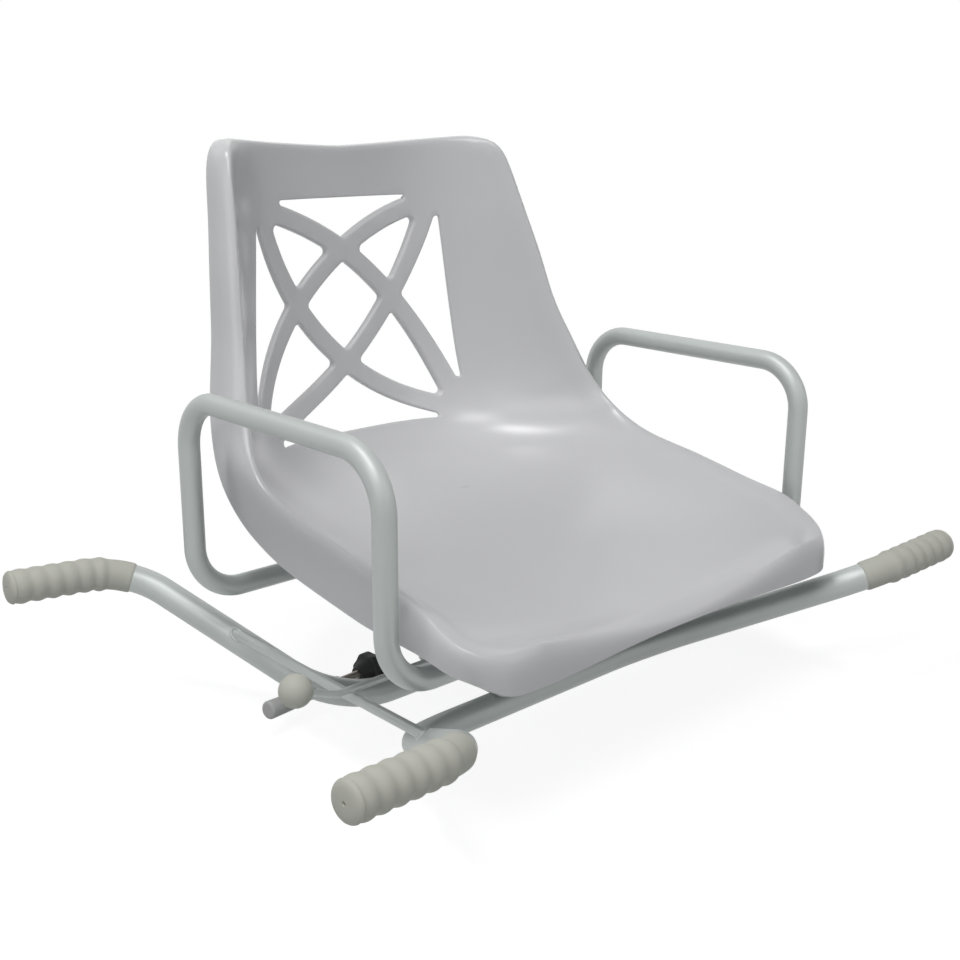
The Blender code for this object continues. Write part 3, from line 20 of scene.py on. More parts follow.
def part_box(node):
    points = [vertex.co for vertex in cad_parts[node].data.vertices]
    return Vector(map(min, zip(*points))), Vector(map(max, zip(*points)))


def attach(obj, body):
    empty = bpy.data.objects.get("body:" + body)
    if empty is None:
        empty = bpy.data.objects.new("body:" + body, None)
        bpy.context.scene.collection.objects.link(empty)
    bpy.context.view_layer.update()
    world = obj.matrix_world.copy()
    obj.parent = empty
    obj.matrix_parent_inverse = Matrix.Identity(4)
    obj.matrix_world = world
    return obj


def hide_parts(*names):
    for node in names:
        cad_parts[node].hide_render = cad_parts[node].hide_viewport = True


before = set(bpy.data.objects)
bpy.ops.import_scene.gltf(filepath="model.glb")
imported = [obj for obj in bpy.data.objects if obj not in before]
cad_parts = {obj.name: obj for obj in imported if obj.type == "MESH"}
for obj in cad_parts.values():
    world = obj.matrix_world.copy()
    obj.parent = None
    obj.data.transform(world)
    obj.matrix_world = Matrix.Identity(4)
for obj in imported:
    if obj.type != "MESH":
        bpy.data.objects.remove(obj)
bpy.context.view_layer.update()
LOG = logging.getLogger("bath_chair")

Pair = tuple[float, float]
Colour = tuple[float, float, float]
Spot = Vector | tuple[float, float, float]
Keys = tuple[tuple[float, tuple[float, ...]], ...]
Value = float | Colour | bpy.types.NodeSocket
Socket = bpy.types.NodeSocket
NodeTree = bpy.types.NodeTree
Solid = bpy.types.Object


class Named(Enum):
    """An option whose name in small letters is part of the nodes' names."""

    @property
    def word(self) -> str:
        """The option's name as nodes spell it."""
        return self.name.lower()


class Side(Named):
    """Left and right as the photograph shows them, so that left is -X."""

    LEFT = -1
    RIGHT = 1


class End(Named):
    """The front of the chair, at -Y, and its rear."""

    FRONT = -1
    REAR = 1


class Merge(Enum):
    """How a Boolean modifier works one solid into another."""

    CUT = "DIFFERENCE"
    JOIN = "UNION"
    KEEP_COMMON = "INTERSECT"


# Sizes that several sub-assemblies share

UP = Vector((0, 0, 1))
TURN = 2 * math.pi
LOOSE = 0.0003
MERGE_GAP = 0.000002
HEAD_CHAMFER = 0.66
SWIVEL_BORE = 0.0083
LEVER_PIVOT: Pair = (-0.085, -0.054)
PIVOT_BORE = 0.0043
ARM_Y = {End.FRONT: -0.1445, End.REAR: 0.1160}
SCREW_X = 0.055

# Finishes


def adjust(target: object, settings: dict[str, object]) -> None:
    """Set several properties of one thing."""
    for name, value in settings.items():
        setattr(target, name, value)


def feed(node: bpy.types.Node, values: dict[str | int, Value]) -> bpy.types.Node:
    """Set or link the inputs of a shader node.

    Args:
        node: The node.
        values: A number, a colour or another node's output for each input, by its name or number.

    Returns:
        The node.
    """
    for key, value in values.items():
        if isinstance(value, Socket):
            node.id_data.links.new(value, node.inputs[key])
        else:
            node.inputs[key].default_value = (*value, 1.0) if isinstance(value, tuple) else value
    return node


def add_node(
    tree: NodeTree, kind: str, values: dict[str | int, Value] | None = None, **settings: str
) -> bpy.types.Node:
    """Add a shader node.

    Args:
        tree: The node tree.
        kind: The node's type.
        values: What its inputs are fed with.
        settings: Its own properties.

    Returns:
        The node.
    """
    made = tree.nodes.new(f"ShaderNode{kind}")
    adjust(made, settings)
    return feed(made, values or {})


def noise(place: Socket, size: float, detail: float) -> Socket:
    """A cloudy value whose features have a size in metres."""
    values = {"Vector": place, "Scale": 1 / size, "Detail": detail}
    return add_node(place.id_data, "TexNoise", values).outputs["Fac"]


def blend(share: Socket, first: Value, second: Value) -> Socket:
    """A colour between two, each plain or from a node."""
    return add_node(share.id_data, "Mix", {0: share, 6: first, 7: second}, data_type="RGBA").outputs[2]


def ranged(
    value: Socket, source: Pair, target: Pair = (0.0, 1.0), ease: str = "LINEAR"
) -> Socket:
    """A value carried from one range to another and held at its ends."""
    ends = {"From Min": source[0], "From Max": source[1], "To Min": target[0], "To Max": target[1]}
    made = add_node(value.id_data, "MapRange", {"Value": value} | ends, interpolation_type=ease)
    return made.outputs["Result"]


@dataclass(frozen=True)
class Finish:
    """A finish: its colour and drift, its specks, its gloss, and the grain of its surface."""

    slot: str
    colour: Colour
    drift_colour: Colour
    drift_size: float = 0.06
    drift_detail: float = 4.0
    gloss: Pair = (0.30, 0.42)
    gloss_size: float = 0.012
    gloss_detail: float = 3.0
    gloss_range: Pair = (0.3, 0.7)
    metallic: float = 0.0
    specular: float = 0.5
    grain_size: float = 0.0012
    grain_depth: float = 0.00003
    grain_strength: float = 0.6
    fine_detail: float = 2.0
    speck_colour: Colour = (0.25, 0.24, 0.22)
    speck_size: float = 0.006
    speck_share: float = 0.02
    speck_range: Pair = (0.74, 0.80)

    def material(self) -> bpy.types.Material:
        """The finish as a node material, made once."""
        made = bpy.data.materials.get(self.slot)
        if made is None:
            made = bpy.data.materials.new(self.slot)
            made.use_nodes = True
            self.wire(made.node_tree)
        return made

    def wire(self, tree: NodeTree) -> None:
        """Lay out the nodes.

        Args:
            tree: The material's node tree.
        """
        place = add_node(tree, "TexCoord").outputs["Object"]
        drift = noise(place, self.drift_size, self.drift_detail)
        marks = noise(place, self.speck_size, self.fine_detail)
        specks = ranged(marks, self.speck_range, (0.0, self.speck_share))
        cloud = noise(place, self.gloss_size, self.gloss_detail)
        grain = noise(place, self.grain_size, self.fine_detail)
        relief = {"Strength": self.grain_strength, "Distance": self.grain_depth, "Height": grain}
        feed(tree.nodes["Principled BSDF"], {
            "Base Color": blend(specks, blend(drift, self.colour, self.drift_colour), self.speck_colour),
            "Metallic": self.metallic,
            "Specular IOR Level": self.specular,
            "Roughness": ranged(cloud, self.gloss_range, self.gloss),
            "Normal": add_node(tree, "Bump", relief).outputs["Normal"],
        })


SHELL_PLASTIC = Finish(
    "seat_plastic", colour=(0.545, 0.555, 0.560), drift_colour=(0.520, 0.530, 0.540), drift_size=0.12,
    gloss=(0.19, 0.27), gloss_size=0.020, grain_size=0.0016, grain_depth=0.00004,
)
FRAME_PAINT = Finish(
    "painted_steel", colour=(0.415, 0.460, 0.445), drift_colour=(0.395, 0.445, 0.432),
    gloss=(0.09, 0.16), grain_size=0.0020, grain_depth=0.00005, speck_share=0.10,
)
ZINC = Finish(
    "zinc_steel", colour=(0.56, 0.56, 0.54), drift_colour=(0.46, 0.45, 0.42), drift_size=0.008,
    gloss=(0.24, 0.42), gloss_size=0.004, metallic=1.0, grain_size=0.0008, grain_depth=0.00002,
)
THREAD_STEEL = Finish(
    "dark_thread", colour=(0.42, 0.40, 0.36), drift_colour=(0.26, 0.24, 0.21), drift_size=0.006,
    gloss=(0.22, 0.40), gloss_size=0.003, metallic=1.0, grain_size=0.0006, grain_depth=0.00002,
)
SLEEVE_PLASTIC = Finish(
    "ivory_plastic", colour=(0.555, 0.555, 0.470), drift_colour=(0.500, 0.490, 0.435), drift_size=0.020,
    gloss=(0.22, 0.33), grain_size=0.0014, grain_depth=0.00006, speck_share=0.05,
)
FOOT_PLASTIC = Finish(
    "grey_plastic", colour=(0.36, 0.36, 0.35), drift_colour=(0.32, 0.32, 0.31), drift_size=0.010,
    gloss=(0.40, 0.52),
)
KNOB_PLASTIC = Finish(
    "black_plastic", colour=(0.005, 0.006, 0.006), drift_colour=(0.009, 0.009, 0.010), drift_size=0.010,
    gloss=(0.34, 0.48), specular=0.10, speck_colour=(0.10, 0.10, 0.10),
)
NYLON = Finish(
    "nylon", colour=(0.72, 0.70, 0.62), drift_colour=(0.66, 0.63, 0.54), drift_size=0.010,
    gloss=(0.36, 0.50),
)


# Shop tools


def clear_selection() -> None:
    """Leave every object unselected, in object mode."""
    if bpy.context.object is not None and bpy.context.object.mode != "OBJECT":
        bpy.ops.object.mode_set(mode="OBJECT")
    bpy.ops.object.select_all(action="DESELECT")


def take(piece: Solid) -> None:
    """Make one object the only selected and active one."""
    clear_selection()
    piece.select_set(True)
    bpy.context.view_layer.objects.active = piece


def settle(piece: Solid) -> Solid:
    """Move an object's place, turn and scale into its mesh."""
    take(piece)
    bpy.ops.object.transform_apply(location=True, rotation=True, scale=True)
    return piece


@contextmanager
def editing(kind: str) -> Iterator[None]:
    """Edit the active object with all of it selected.

    Args:
        kind: What is selected: VERT or FACE.
    """
    bpy.ops.object.mode_set(mode="EDIT")
    bpy.ops.mesh.select_mode(type=kind)
    bpy.ops.mesh.select_all(action="SELECT")
    yield
    bpy.ops.object.mode_set(mode="OBJECT")


def pointing(spot: Spot, heading: Spot) -> Matrix:
    """The matrix that puts +Z along a heading at a spot."""
    turn = Vector(heading).to_track_quat("Z", "Y").to_matrix().to_4x4()
    return Matrix.Translation(Vector(spot)) @ turn


def turn_outwards(piece: Solid) -> Solid:
    """Merge a closed mesh's doubles and point its faces outwards.

    Args:
        piece: The closed mesh.

    Returns:
        The same piece.
    """
    take(piece)
    with editing("VERT"):
        bpy.ops.mesh.remove_doubles(threshold=MERGE_GAP)
        bpy.ops.mesh.normals_make_consistent(inside=False)
    return piece


def modify(piece: Solid, kind: str, **settings: object) -> None:
    """Put a modifier on a piece and apply it.

    Args:
        piece: The piece.
        kind: The modifier's type.
        settings: Its properties.
    """
    take(piece)
    modifier = piece.modifiers.new("work", kind)
    adjust(modifier, settings)
    bpy.ops.object.modifier_apply(modifier=modifier.name)


def work_in(piece: Solid, tool: Solid, merge: Merge, solver: str = "EXACT") -> None:
    """Cut or join a solid with another, which is used up."""
    modify(piece, "BOOLEAN", operation=merge.value, solver=solver, object=tool)
    bpy.data.objects.remove(tool, do_unlink=True)


def soften(piece: Solid, width: float, segments: int, angle: float) -> None:
    """Round the edges of a solid that turn more than an angle in degrees."""
    limit = math.radians(angle)
    modify(piece, "BEVEL", width=width, segments=segments, limit_method="ANGLE", angle_limit=limit)


def extrude(step: Vector) -> None:
    """Extrude the selection by a step."""
    bpy.ops.mesh.extrude_region_move(TRANSFORM_OT_translate={"value": tuple(step)})


def disc(name: str, sides: int, radius: float, spot: Spot = (0, 0, 0), heading: Spot = UP) -> Solid:
    """A filled circle across a heading, the start of an extruded solid.

    Args:
        name: The object's name.
        sides: Its corners.
        radius: Its radius.
        spot: Its middle.
        heading: The way that it faces.

    Returns:
        The disc.
    """
    clear_selection()
    turn = Vector(heading).to_track_quat("Z", "Y").to_euler()
    bpy.ops.mesh.primitive_circle_add(
        vertices=sides, radius=radius, fill_type="NGON", location=spot, rotation=turn
    )
    bpy.context.object.name = name
    return settle(bpy.context.object)


def turned(name: str, profile: Sequence[Pair], spot: Spot, heading: Spot, steps: int = 48) -> Solid:
    """A turned solid: a profile spun round its axis.

    Args:
        name: The object's name.
        profile: Radius and height of each corner; it begins and ends on the axis, or closes on itself.
        spot: Where the axis starts.
        heading: Which way the axis points.
        steps: Facets round the axis.

    Returns:
        The solid.
    """
    clear_selection()
    bpy.ops.mesh.primitive_plane_add(size=0.001, location=(profile[0][0], 0, profile[0][1]))
    piece = bpy.context.object
    piece.name = name
    settle(piece)
    with editing("VERT"):
        bpy.ops.mesh.merge(type="CENTER")
        for (radius, height), (next_radius, next_height) in zip(profile, profile[1:]):
            extrude(Vector((next_radius - radius, 0, next_height - height)))
        bpy.ops.mesh.select_all(action="SELECT")
        bpy.ops.mesh.spin(steps=steps, angle=TURN, center=(0, 0, 0), axis=(0, 0, 1))
    turn_outwards(piece)
    piece.matrix_world = pointing(spot, heading)
    return settle(piece)


def round_bar(
    name: str, radius: float, length: float, spot: Spot, heading: Spot, edge: float = 0.0, steps: int = 32
) -> Solid:
    """A turned bar.

    Args:
        name: The object's name.
        radius: Its radius.
        length: Its length.
        spot: Where it starts.
        heading: Which way it runs.
        edge: Width of its ends' chamfers.
        steps: Facets round it.

    Returns:
        The bar.
    """
    flank = [(radius - edge, 0.0), (radius, edge), (radius, length - edge), (radius - edge, length)]
    flank = flank if edge else [flank[1], flank[2]]
    return turned(name, [(0.0, 0.0), *flank, (0.0, length)], spot, heading, steps)


def ring_plate(
    name: str, outer: float, bore: float, thickness: float, spot: Spot, heading: Spot, edge: float,
    steps: int = 64,
) -> Solid:
    """A turned washer or bush with rounded rims.

    Args:
        name: The object's name.
        outer: Its outer radius.
        bore: Its inner radius.
        thickness: Its length along its axis.
        spot: Where it starts.
        heading: Which way its axis points.
        edge: Width of the rims' rounding.
        steps: Facets round the axis.

    Returns:
        The ring.
    """
    cut = edge * 0.3
    profile = [
        (bore, edge), (bore + edge, 0.0), (outer - edge, 0.0), (outer - cut, cut), (outer, edge),
        (outer, thickness - edge), (outer - cut, thickness - cut), (outer - edge, thickness),
        (bore + edge, thickness), (bore, thickness - edge), (bore, edge),
    ]
    return turned(name, profile, spot, heading, steps)


def node_ring(
    name: str, node: str, outer: float, bore: float, edge: float, at: Pair = (0.0, 0.0), steps: int = 64
) -> Solid:
    """A level ring as high as a node and in its place."""
    low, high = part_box(node)
    return ring_plate(name, outer, bore, high[2] - low[2], (*at, low[2]), UP, edge, steps)


@dataclass
class Bend:
    """A round bend between two straight runs of a middle line."""

    before: Vector
    corner: Vector
    after: Vector
    radius: float

    def __post_init__(self) -> None:
        """Work out the bend's directions, angle, ends, centre and axis."""
        self.arriving = (self.corner - self.before).normalized()
        self.leaving = (self.after - self.corner).normalized()
        self.angle = self.arriving.angle(self.leaving)
        self.inward = (self.leaving - self.arriving * self.leaving.dot(self.arriving)).normalized()
        self.axis = self.arriving.cross(self.leaving).normalized()
        reach = self.radius * math.tan(self.angle / 2)
        self.start = self.corner - self.arriving * reach
        self.end = self.corner + self.leaving * reach
        self.centre = self.start + self.inward * self.radius


def bent_tube(
    name: str, corners: Sequence[Vector], bends: Sequence[float], radius: float, sides: int, step: float = 5.0
) -> Solid:
    """A round tube, extruded along its straight runs and spun through its bends.

    Args:
        name: The object's name.
        corners: Where the straight runs meet, from end to end.
        bends: Radius of the bend at each inner corner.
        radius: The tube's own radius.
        sides: Facets round the tube.
        step: Degrees between the rings of a bend.

    Returns:
        The tube as a closed solid.
    """
    spot = corners[0]
    tube = disc(name, sides, radius, spot, (corners[1] - spot).normalized())
    with editing("FACE"):
        for before, corner, after, bend_radius in zip(corners, corners[1:], corners[2:], bends):
            bend = Bend(before, corner, after, bend_radius)
            extrude(bend.start - spot)
            rings = math.ceil(bend.angle / math.radians(step))
            bpy.ops.mesh.spin(steps=rings, angle=bend.angle, center=bend.centre, axis=-bend.axis)
            spot = bend.end
        extrude(corners[-1] - spot)
    return turn_outwards(tube)


def bead(name: str, path: Sequence[Vector], radius: float, closed: bool, sides: int = 10) -> Solid:
    """A round bead or wire along a path, as a mesh.

    Args:
        name: The object's name.
        path: Points of its middle line.
        radius: The bead's radius.
        closed: Whether the path runs round.
        sides: Facets round the bead.

    Returns:
        The bead.
    """
    clear_selection()
    line = bpy.data.curves.new(name, "CURVE")
    shape = {"dimensions": "3D", "bevel_depth": radius, "bevel_resolution": (sides - 4) // 2}
    adjust(line, shape | {"use_fill_caps": not closed})
    spline = line.splines.new("POLY")
    spline.points.add(len(path) - 1)
    for point, place in zip(spline.points, path):
        point.co = (*place, 1.0)
    spline.use_cyclic_u = closed
    wire = bpy.data.objects.new(name, line)
    bpy.context.scene.collection.objects.link(wire)
    take(wire)
    bpy.ops.object.convert(target="MESH")
    bpy.context.object.name = name
    return turn_outwards(bpy.context.object)


def bore_through(piece: Solid, radius: float, spot: Spot, length: float = 0.03) -> None:
    """Drill an upright hole whose middle is at a spot."""
    start = Vector(spot) - UP * length / 2
    work_in(piece, round_bar("drill", radius, length, start, UP), Merge.CUT)


def node_plate(
    name: str, node: str, outline: Sequence[Pair], edge: float, *bores: tuple[float, Pair]
) -> Solid:
    """A level plate as high as a node: its outline is extruded, its edges rounded, its holes drilled.

    Args:
        name: The object's name.
        node: The node in whose place it lies.
        outline: Corners of the plate, anticlockwise.
        edge: Width of its edges' rounding.
        bores: Radius and place of each hole.

    Returns:
        The plate.
    """
    low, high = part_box(node)
    plate = disc(name, len(outline), 0.1)
    for vertex, (x, y) in zip(plate.data.vertices, outline):
        vertex.co = (x, y, low[2])
    with editing("FACE"):
        extrude(Vector((0, 0, high[2] - low[2])))
    turn_outwards(plate)
    soften(plate, edge, 2, 60)
    for radius, place in bores:
        bore_through(plate, radius, (*place, low[2]))
    return plate


def arc(centre: Pair, radius: float, start: float, end: float, steps: int) -> list[Pair]:
    """Points of an arc between two angles."""
    angles = [start + (end - start) * i / steps for i in range(steps + 1)]
    return [(centre[0] + radius * math.cos(a), centre[1] + radius * math.sin(a)) for a in angles]


def rounded_rectangle(width: float, depth: float, corner: float, centre: Pair = (0.0, 0.0)) -> list[Pair]:
    """A rectangle with rounded corners.

    Args:
        width: Its size along X.
        depth: Its size along Y.
        corner: Radius of its corners.
        centre: Its middle.

    Returns:
        Its points, anticlockwise.
    """
    points: list[Pair] = []
    quarter = math.pi / 2
    for i, (sign_x, sign_y) in enumerate(((1, 1), (-1, 1), (-1, -1), (1, -1))):
        middle = (centre[0] + sign_x * (width / 2 - corner), centre[1] + sign_y * (depth / 2 - corner))
        points += arc(middle, corner, quarter * i, quarter * (i + 1), 8)
    return points


def hexagon(name: str, width: float, height: float, spot: Vector, heading: Vector = UP) -> Solid:
    """A hexagon head or nut blank with chamfered corners.

    Args:
        name: The object's name.
        width: Width across its flats.
        height: Its height.
        spot: Where its base lies.
        heading: Which way it rises.

    Returns:
        The blank.
    """
    clear_selection()
    across, half = width / math.sqrt(3), width / 2
    bpy.ops.mesh.primitive_cylinder_add(vertices=6, radius=across, depth=height)
    piece = bpy.context.object
    piece.name = name
    piece.matrix_world = pointing(spot, heading) @ Matrix.Translation((0, 0, height / 2))
    settle(piece)
    drop = (across - half) * HEAD_CHAMFER
    barrel = [(0.0, 0.0), (half, 0.0), (across, drop), (across, height - drop), (half, height), (0.0, height)]
    work_in(piece, turned("chamfer", barrel, spot, heading), Merge.KEEP_COMMON)
    return piece


def threaded(
    name: str, radius: float, depth: float, pitch: float, length: float, spot: Vector, heading: Vector = UP
) -> Solid:
    """A rod with a helical thread and tapered ends.

    Args:
        name: The object's name.
        radius: Radius over the thread.
        depth: Depth of the thread.
        pitch: Distance between its turns.
        length: Length of the rod.
        spot: Where it starts.
        heading: Which way it runs.

    Returns:
        The rod.
    """
    rod = round_bar(name, radius, length, (0, 0, 0), UP, steps=24)
    cage = bmesh.new()
    cage.from_mesh(rod.data)
    long_edges = []
    for edge in cage.edges:
        first, second = (vertex.co for vertex in edge.verts)
        if abs(first.z - second.z) > length / 2 and first.xy.length > radius / 2:
            long_edges.append(edge)
    bmesh.ops.subdivide_edges(cage, edges=long_edges, cuts=round(length / pitch * 4) - 1, use_grid_fill=True)
    for vertex in cage.verts:
        reach = vertex.co.xy.length
        if reach < radius / 2:
            continue
        turn = math.atan2(vertex.co.y, vertex.co.x) / TURN
        tooth = abs(2 * ((vertex.co.z / pitch - turn) % 1.0) - 1) * depth
        taper = max(0.0, pitch - min(vertex.co.z, length - vertex.co.z)) * 0.8
        wanted = radius - max(tooth, taper)
        vertex.co.x *= wanted / reach
        vertex.co.y *= wanted / reach
    cage.to_mesh(rod.data)
    cage.free()
    rod.matrix_world = pointing(spot, heading)
    return settle(rod)


def dress(
    piece: Solid, finish: Finish, body: str, *nodes: str, sharp: float = 35.0
) -> Solid:
    """Give a piece its finish, its body and the nodes that it stands for.

    Args:
        piece: The finished piece.
        finish: Its finish.
        body: The body that it rides on.
        nodes: The nodes that it replaces.
        sharp: Edges that turn more than this many degrees stay crisp.

    Returns:
        The piece.
    """
    settle(piece)
    bpy.ops.object.shade_smooth_by_angle(angle=math.radians(sharp))
    piece.data.materials.clear()
    piece.data.materials.append(finish.material())
    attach(piece, body)
    if nodes:
        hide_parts(*nodes)
    LOG.info("%s: %d faces on %s", piece.name, len(piece.data.polygons), body)
    return piece


def weld(name: str, path: Sequence[Vector], radius: float, closed: bool, body: str) -> None:
    """Lay a painted weld bead along a path."""
    dress(bead(name, path, radius, closed), FRAME_PAINT, body, sharp=60)


def add_nut(name: str, node: str, width: float, bore: float, at: Pair, drill: float) -> None:
    """Model and dress a nut as high as a node.

    Args:
        name: The object's name.
        node: The node in whose place it lies.
        width: Width across its flats.
        bore: Radius of its hole.
        at: Where its axis stands.
        drill: Length of the drill.
    """
    low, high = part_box(node)
    base = Vector((*at, low[2]))
    made = hexagon(name, width, high[2] - low[2], base)
    bore_through(made, bore, (*at, low[2]), drill)
    dress(made, ZINC, "frame", node, sharp=28)


# Frame


@dataclass
class TubeFrame:
    """Two bent tubes with their brace rods and the ribbed sleeves on their ends."""

    tube_radius: float = 0.0127
    cross_y: float = 0.0468
    lower_corner_x: float = 0.1529
    upper_corner: Pair = (0.2532, 0.2370)
    upper_rise: float = 0.1041
    grip_tip: Pair = (0.3650, 0.2450)
    grip_rise: float = 0.1104
    lower_bend: float = 0.089
    upper_bend: float = 0.073
    tip_inset: float = 0.0068
    brace_radius: float = 0.0045
    brace_share: float = 0.52
    brace_lift: float = 0.0033
    brace_inset: float = 0.6
    weld_radius: float = 0.0017

    def corners(self, end: End) -> list[Vector]:
        """Corners of one tube's middle line, from its left tip to its right."""
        places = ((self.lower_corner_x, self.cross_y, 0.0), (*self.upper_corner, self.upper_rise),
                  (*self.grip_tip, self.grip_rise))
        half = [Vector((x, end.value * y, self.tube_radius + rise)) for x, y, rise in places]
        return [Vector((-spot.x, spot.y, spot.z)) for spot in reversed(half)] + half

    def arm(self, end: End, side: Side) -> list[Vector]:
        """The foot, the upper corner and the tip of one arm's middle line."""
        return self.corners(end)[:: side.value][3:]

    def build(self) -> None:
        """Model and dress the tubes, the sleeves and the braces."""
        bends = (self.upper_bend, self.lower_bend, self.lower_bend, self.upper_bend)
        for end in End:
            corners = self.corners(end)
            for tip, before in ((0, 1), (-1, -2)):
                corners[tip] += (corners[before] - corners[tip]).normalized() * self.tip_inset
            tube = bent_tube(f"{end.word}_tube", corners, bends, self.tube_radius, 40)
            dress(tube, FRAME_PAINT, "frame", f"{end.word}_frame_tube")
            for side in Side:
                Sleeve(self, end, side).build()
        for side in Side:
            self.build_brace(side)

    def build_brace(self, side: Side) -> None:
        """Model one brace rod and the welds at its two ends.

        Args:
            side: The side that it lies on.
        """
        foot, top, _ = self.arm(End.REAR, side)
        middle = foot + (top - foot) * self.brace_share
        height = middle.z + self.brace_lift
        half = middle.y - self.tube_radius * self.brace_inset
        ends = [Vector((middle.x, -half, height)), Vector((middle.x, half, height))]
        rod = bent_tube(f"{side.word}_brace", ends, (), self.brace_radius, 28)
        dress(rod, FRAME_PAINT, "frame", f"{side.word}_brace_rod")
        for end in End:
            foot, top, _ = self.arm(end, side)
            bar = (Vector((middle.x, 0, height)), Vector((0, end.value, 0)), self.brace_radius)
            seam = saddle(*bar, foot, (top - foot).normalized(), self.tube_radius)
            weld(f"{side.word}_{end.word}_brace_weld", seam, self.weld_radius, True, "frame")


def saddle(
    start: Vector, heading: Vector, radius: float, tube_spot: Vector, tube_heading: Vector, tube_radius: float
) -> list[Vector]:
    """Where a round bar first meets the surface of a larger tube.

    Args:
        start: A point of the bar's middle line, before the tube.
        heading: Which way the bar runs.
        radius: The bar's radius.
        tube_spot: A point of the tube's middle line.
        tube_heading: The tube's direction.
        tube_radius: The tube's radius.

    Returns:
        The points of the seam.
    """
    steps = 36
    across = heading.orthogonal().normalized()
    other = heading.cross(across).normalized()
    seam: list[Vector] = []
    for i in range(steps):
        angle = TURN * i / steps
        point = start + (across * math.cos(angle) + other * math.sin(angle)) * radius
        gap = point - tube_spot
        a = heading - tube_heading * heading.dot(tube_heading)
        b = gap - tube_heading * gap.dot(tube_heading)
        half_b = a.dot(b)
        root = half_b * half_b - a.dot(a) * (b.dot(b) - tube_radius**2)
        seam.append(point + heading * ((-half_b - math.sqrt(max(root, 0.0))) / a.dot(a)))
    return seam


@dataclass
class Sleeve:
    """One ribbed hand sleeve: a plain cuff in the bend, finger ribs, and a rounded tip with a vent."""

    tubes: TubeFrame
    end: End
    side: Side
    sides: int = 48
    mouth_angle: float = math.radians(25)
    mouth_radius: float = 0.0130
    mouth_rounding: float = 0.0025
    cuff_length: float = 0.023
    cuff_radius: float = 0.0140
    crest_radius: float = 0.0156
    crest_drop: float = 0.0001
    groove_radius: float = 0.0146
    groove_drop: float = 0.0003
    rib_pitch: float = 0.0142
    ring_step: float = 0.0010
    tip_rounding: float = 0.0048
    tip_step: float = 0.0004
    tip_face: float = 0.0095
    vent_radius: float = 0.0018
    vent_depth: float = 0.0030

    def build(self) -> None:
        """Model and dress the sleeve."""
        word = f"{self.end.word}_{self.side.word}"
        foot, corner, tip = self.tubes.arm(self.end, self.side)
        bend = Bend(foot, corner, tip, self.tubes.upper_bend)
        turn = Matrix.Rotation(self.mouth_angle, 3, bend.axis)
        mouth = bend.centre + turn @ (-bend.inward * bend.radius)
        sleeve = disc(f"{word}_sleeve", self.sides, self.cuff_radius, mouth, turn @ bend.arriving)
        rest = bend.angle - self.mouth_angle
        straight = tip - bend.end
        bend_rings = math.ceil(rest * bend.radius / self.ring_step)
        run_rings = math.ceil(straight.length / self.ring_step)
        with editing("FACE"):
            bpy.ops.mesh.spin(steps=bend_rings, angle=rest, center=bend.centre, axis=-bend.axis)
            for _ in range(run_rings):
                extrude(straight / run_rings)
        self.shape(sleeve, rest * bend.radius, straight.length, bend_rings, run_rings)
        turn_outwards(sleeve)
        radius, deep, rim = self.vent_radius, -self.vent_depth, self.vent_radius * 1.8
        vent = [(0.0, deep), (radius * 0.7, deep), (radius, 0.0), (rim, 0.0006), (rim, 0.002), (0.0, 0.002)]
        work_in(sleeve, turned("vent", vent, tip, bend.leaving, 24), Merge.CUT)
        dress(sleeve, SLEEVE_PLASTIC, "frame", f"{word}_grip", sharp=50)

    def shape(
        self, sleeve: Solid, arc_length: float, run_length: float, bend_rings: int, run_rings: int
    ) -> None:
        """Press the mouth, the ribs and the tip into the sleeve's rings.

        Args:
            sleeve: The plain sleeve, its rings in order from the mouth.
            arc_length: Length of the part in the bend.
            run_length: Length of the straight part.
            bend_rings: Rings of the part in the bend.
            run_rings: Rings of the straight part.
        """
        for ring in range(bend_rings + run_rings + 1):
            group = sleeve.data.vertices[ring * self.sides:(ring + 1) * self.sides]
            middle = sum((vertex.co for vertex in group), Vector()) / self.sides
            along = arc_length * ring / bend_rings
            if ring > bend_rings:
                along = arc_length + run_length * (ring - bend_rings) / run_rings
            for vertex in group:
                out = (vertex.co - middle).normalized()
                vertex.co = middle + out * self.radius_at(along, arc_length + run_length, out.z)

    def radius_at(self, along: float, total: float, lift: float) -> float:
        """The sleeve's radius at a distance from its mouth.

        Args:
            along: Distance from the mouth.
            total: The sleeve's whole length.
            lift: 1 on top of the sleeve, -1 underneath.

        Returns:
            The radius.
        """
        shoulder = total - self.tip_rounding
        pitch = (shoulder - self.cuff_length) / round((shoulder - self.cuff_length) / self.rib_pitch)
        radius = self.cuff_radius
        if along < self.mouth_rounding:
            rise = math.sqrt(along / self.mouth_rounding)
            radius = self.mouth_radius + (self.cuff_radius - self.mouth_radius) * rise
        elif along > self.cuff_length:
            wave = (1 - math.cos(TURN * (along - self.cuff_length) / pitch)) / 2
            floor = self.groove_radius - self.groove_drop * (1 - lift) / 2
            if along < self.cuff_length + pitch / 2:
                floor = self.cuff_radius
            rounded = wave ** (0.8 if lift < 0 else 0.9)
            radius = floor + (self.crest_radius + self.crest_drop * (1 - lift) - floor) * rounded
        if along > shoulder:
            share = (along - shoulder) / self.tip_rounding
            step = self.crest_radius - self.tip_step - self.tip_face
            radius = self.tip_face + step * math.sqrt(max(0.0, 1 - share**2))
        return radius


# Pedestal and swivel


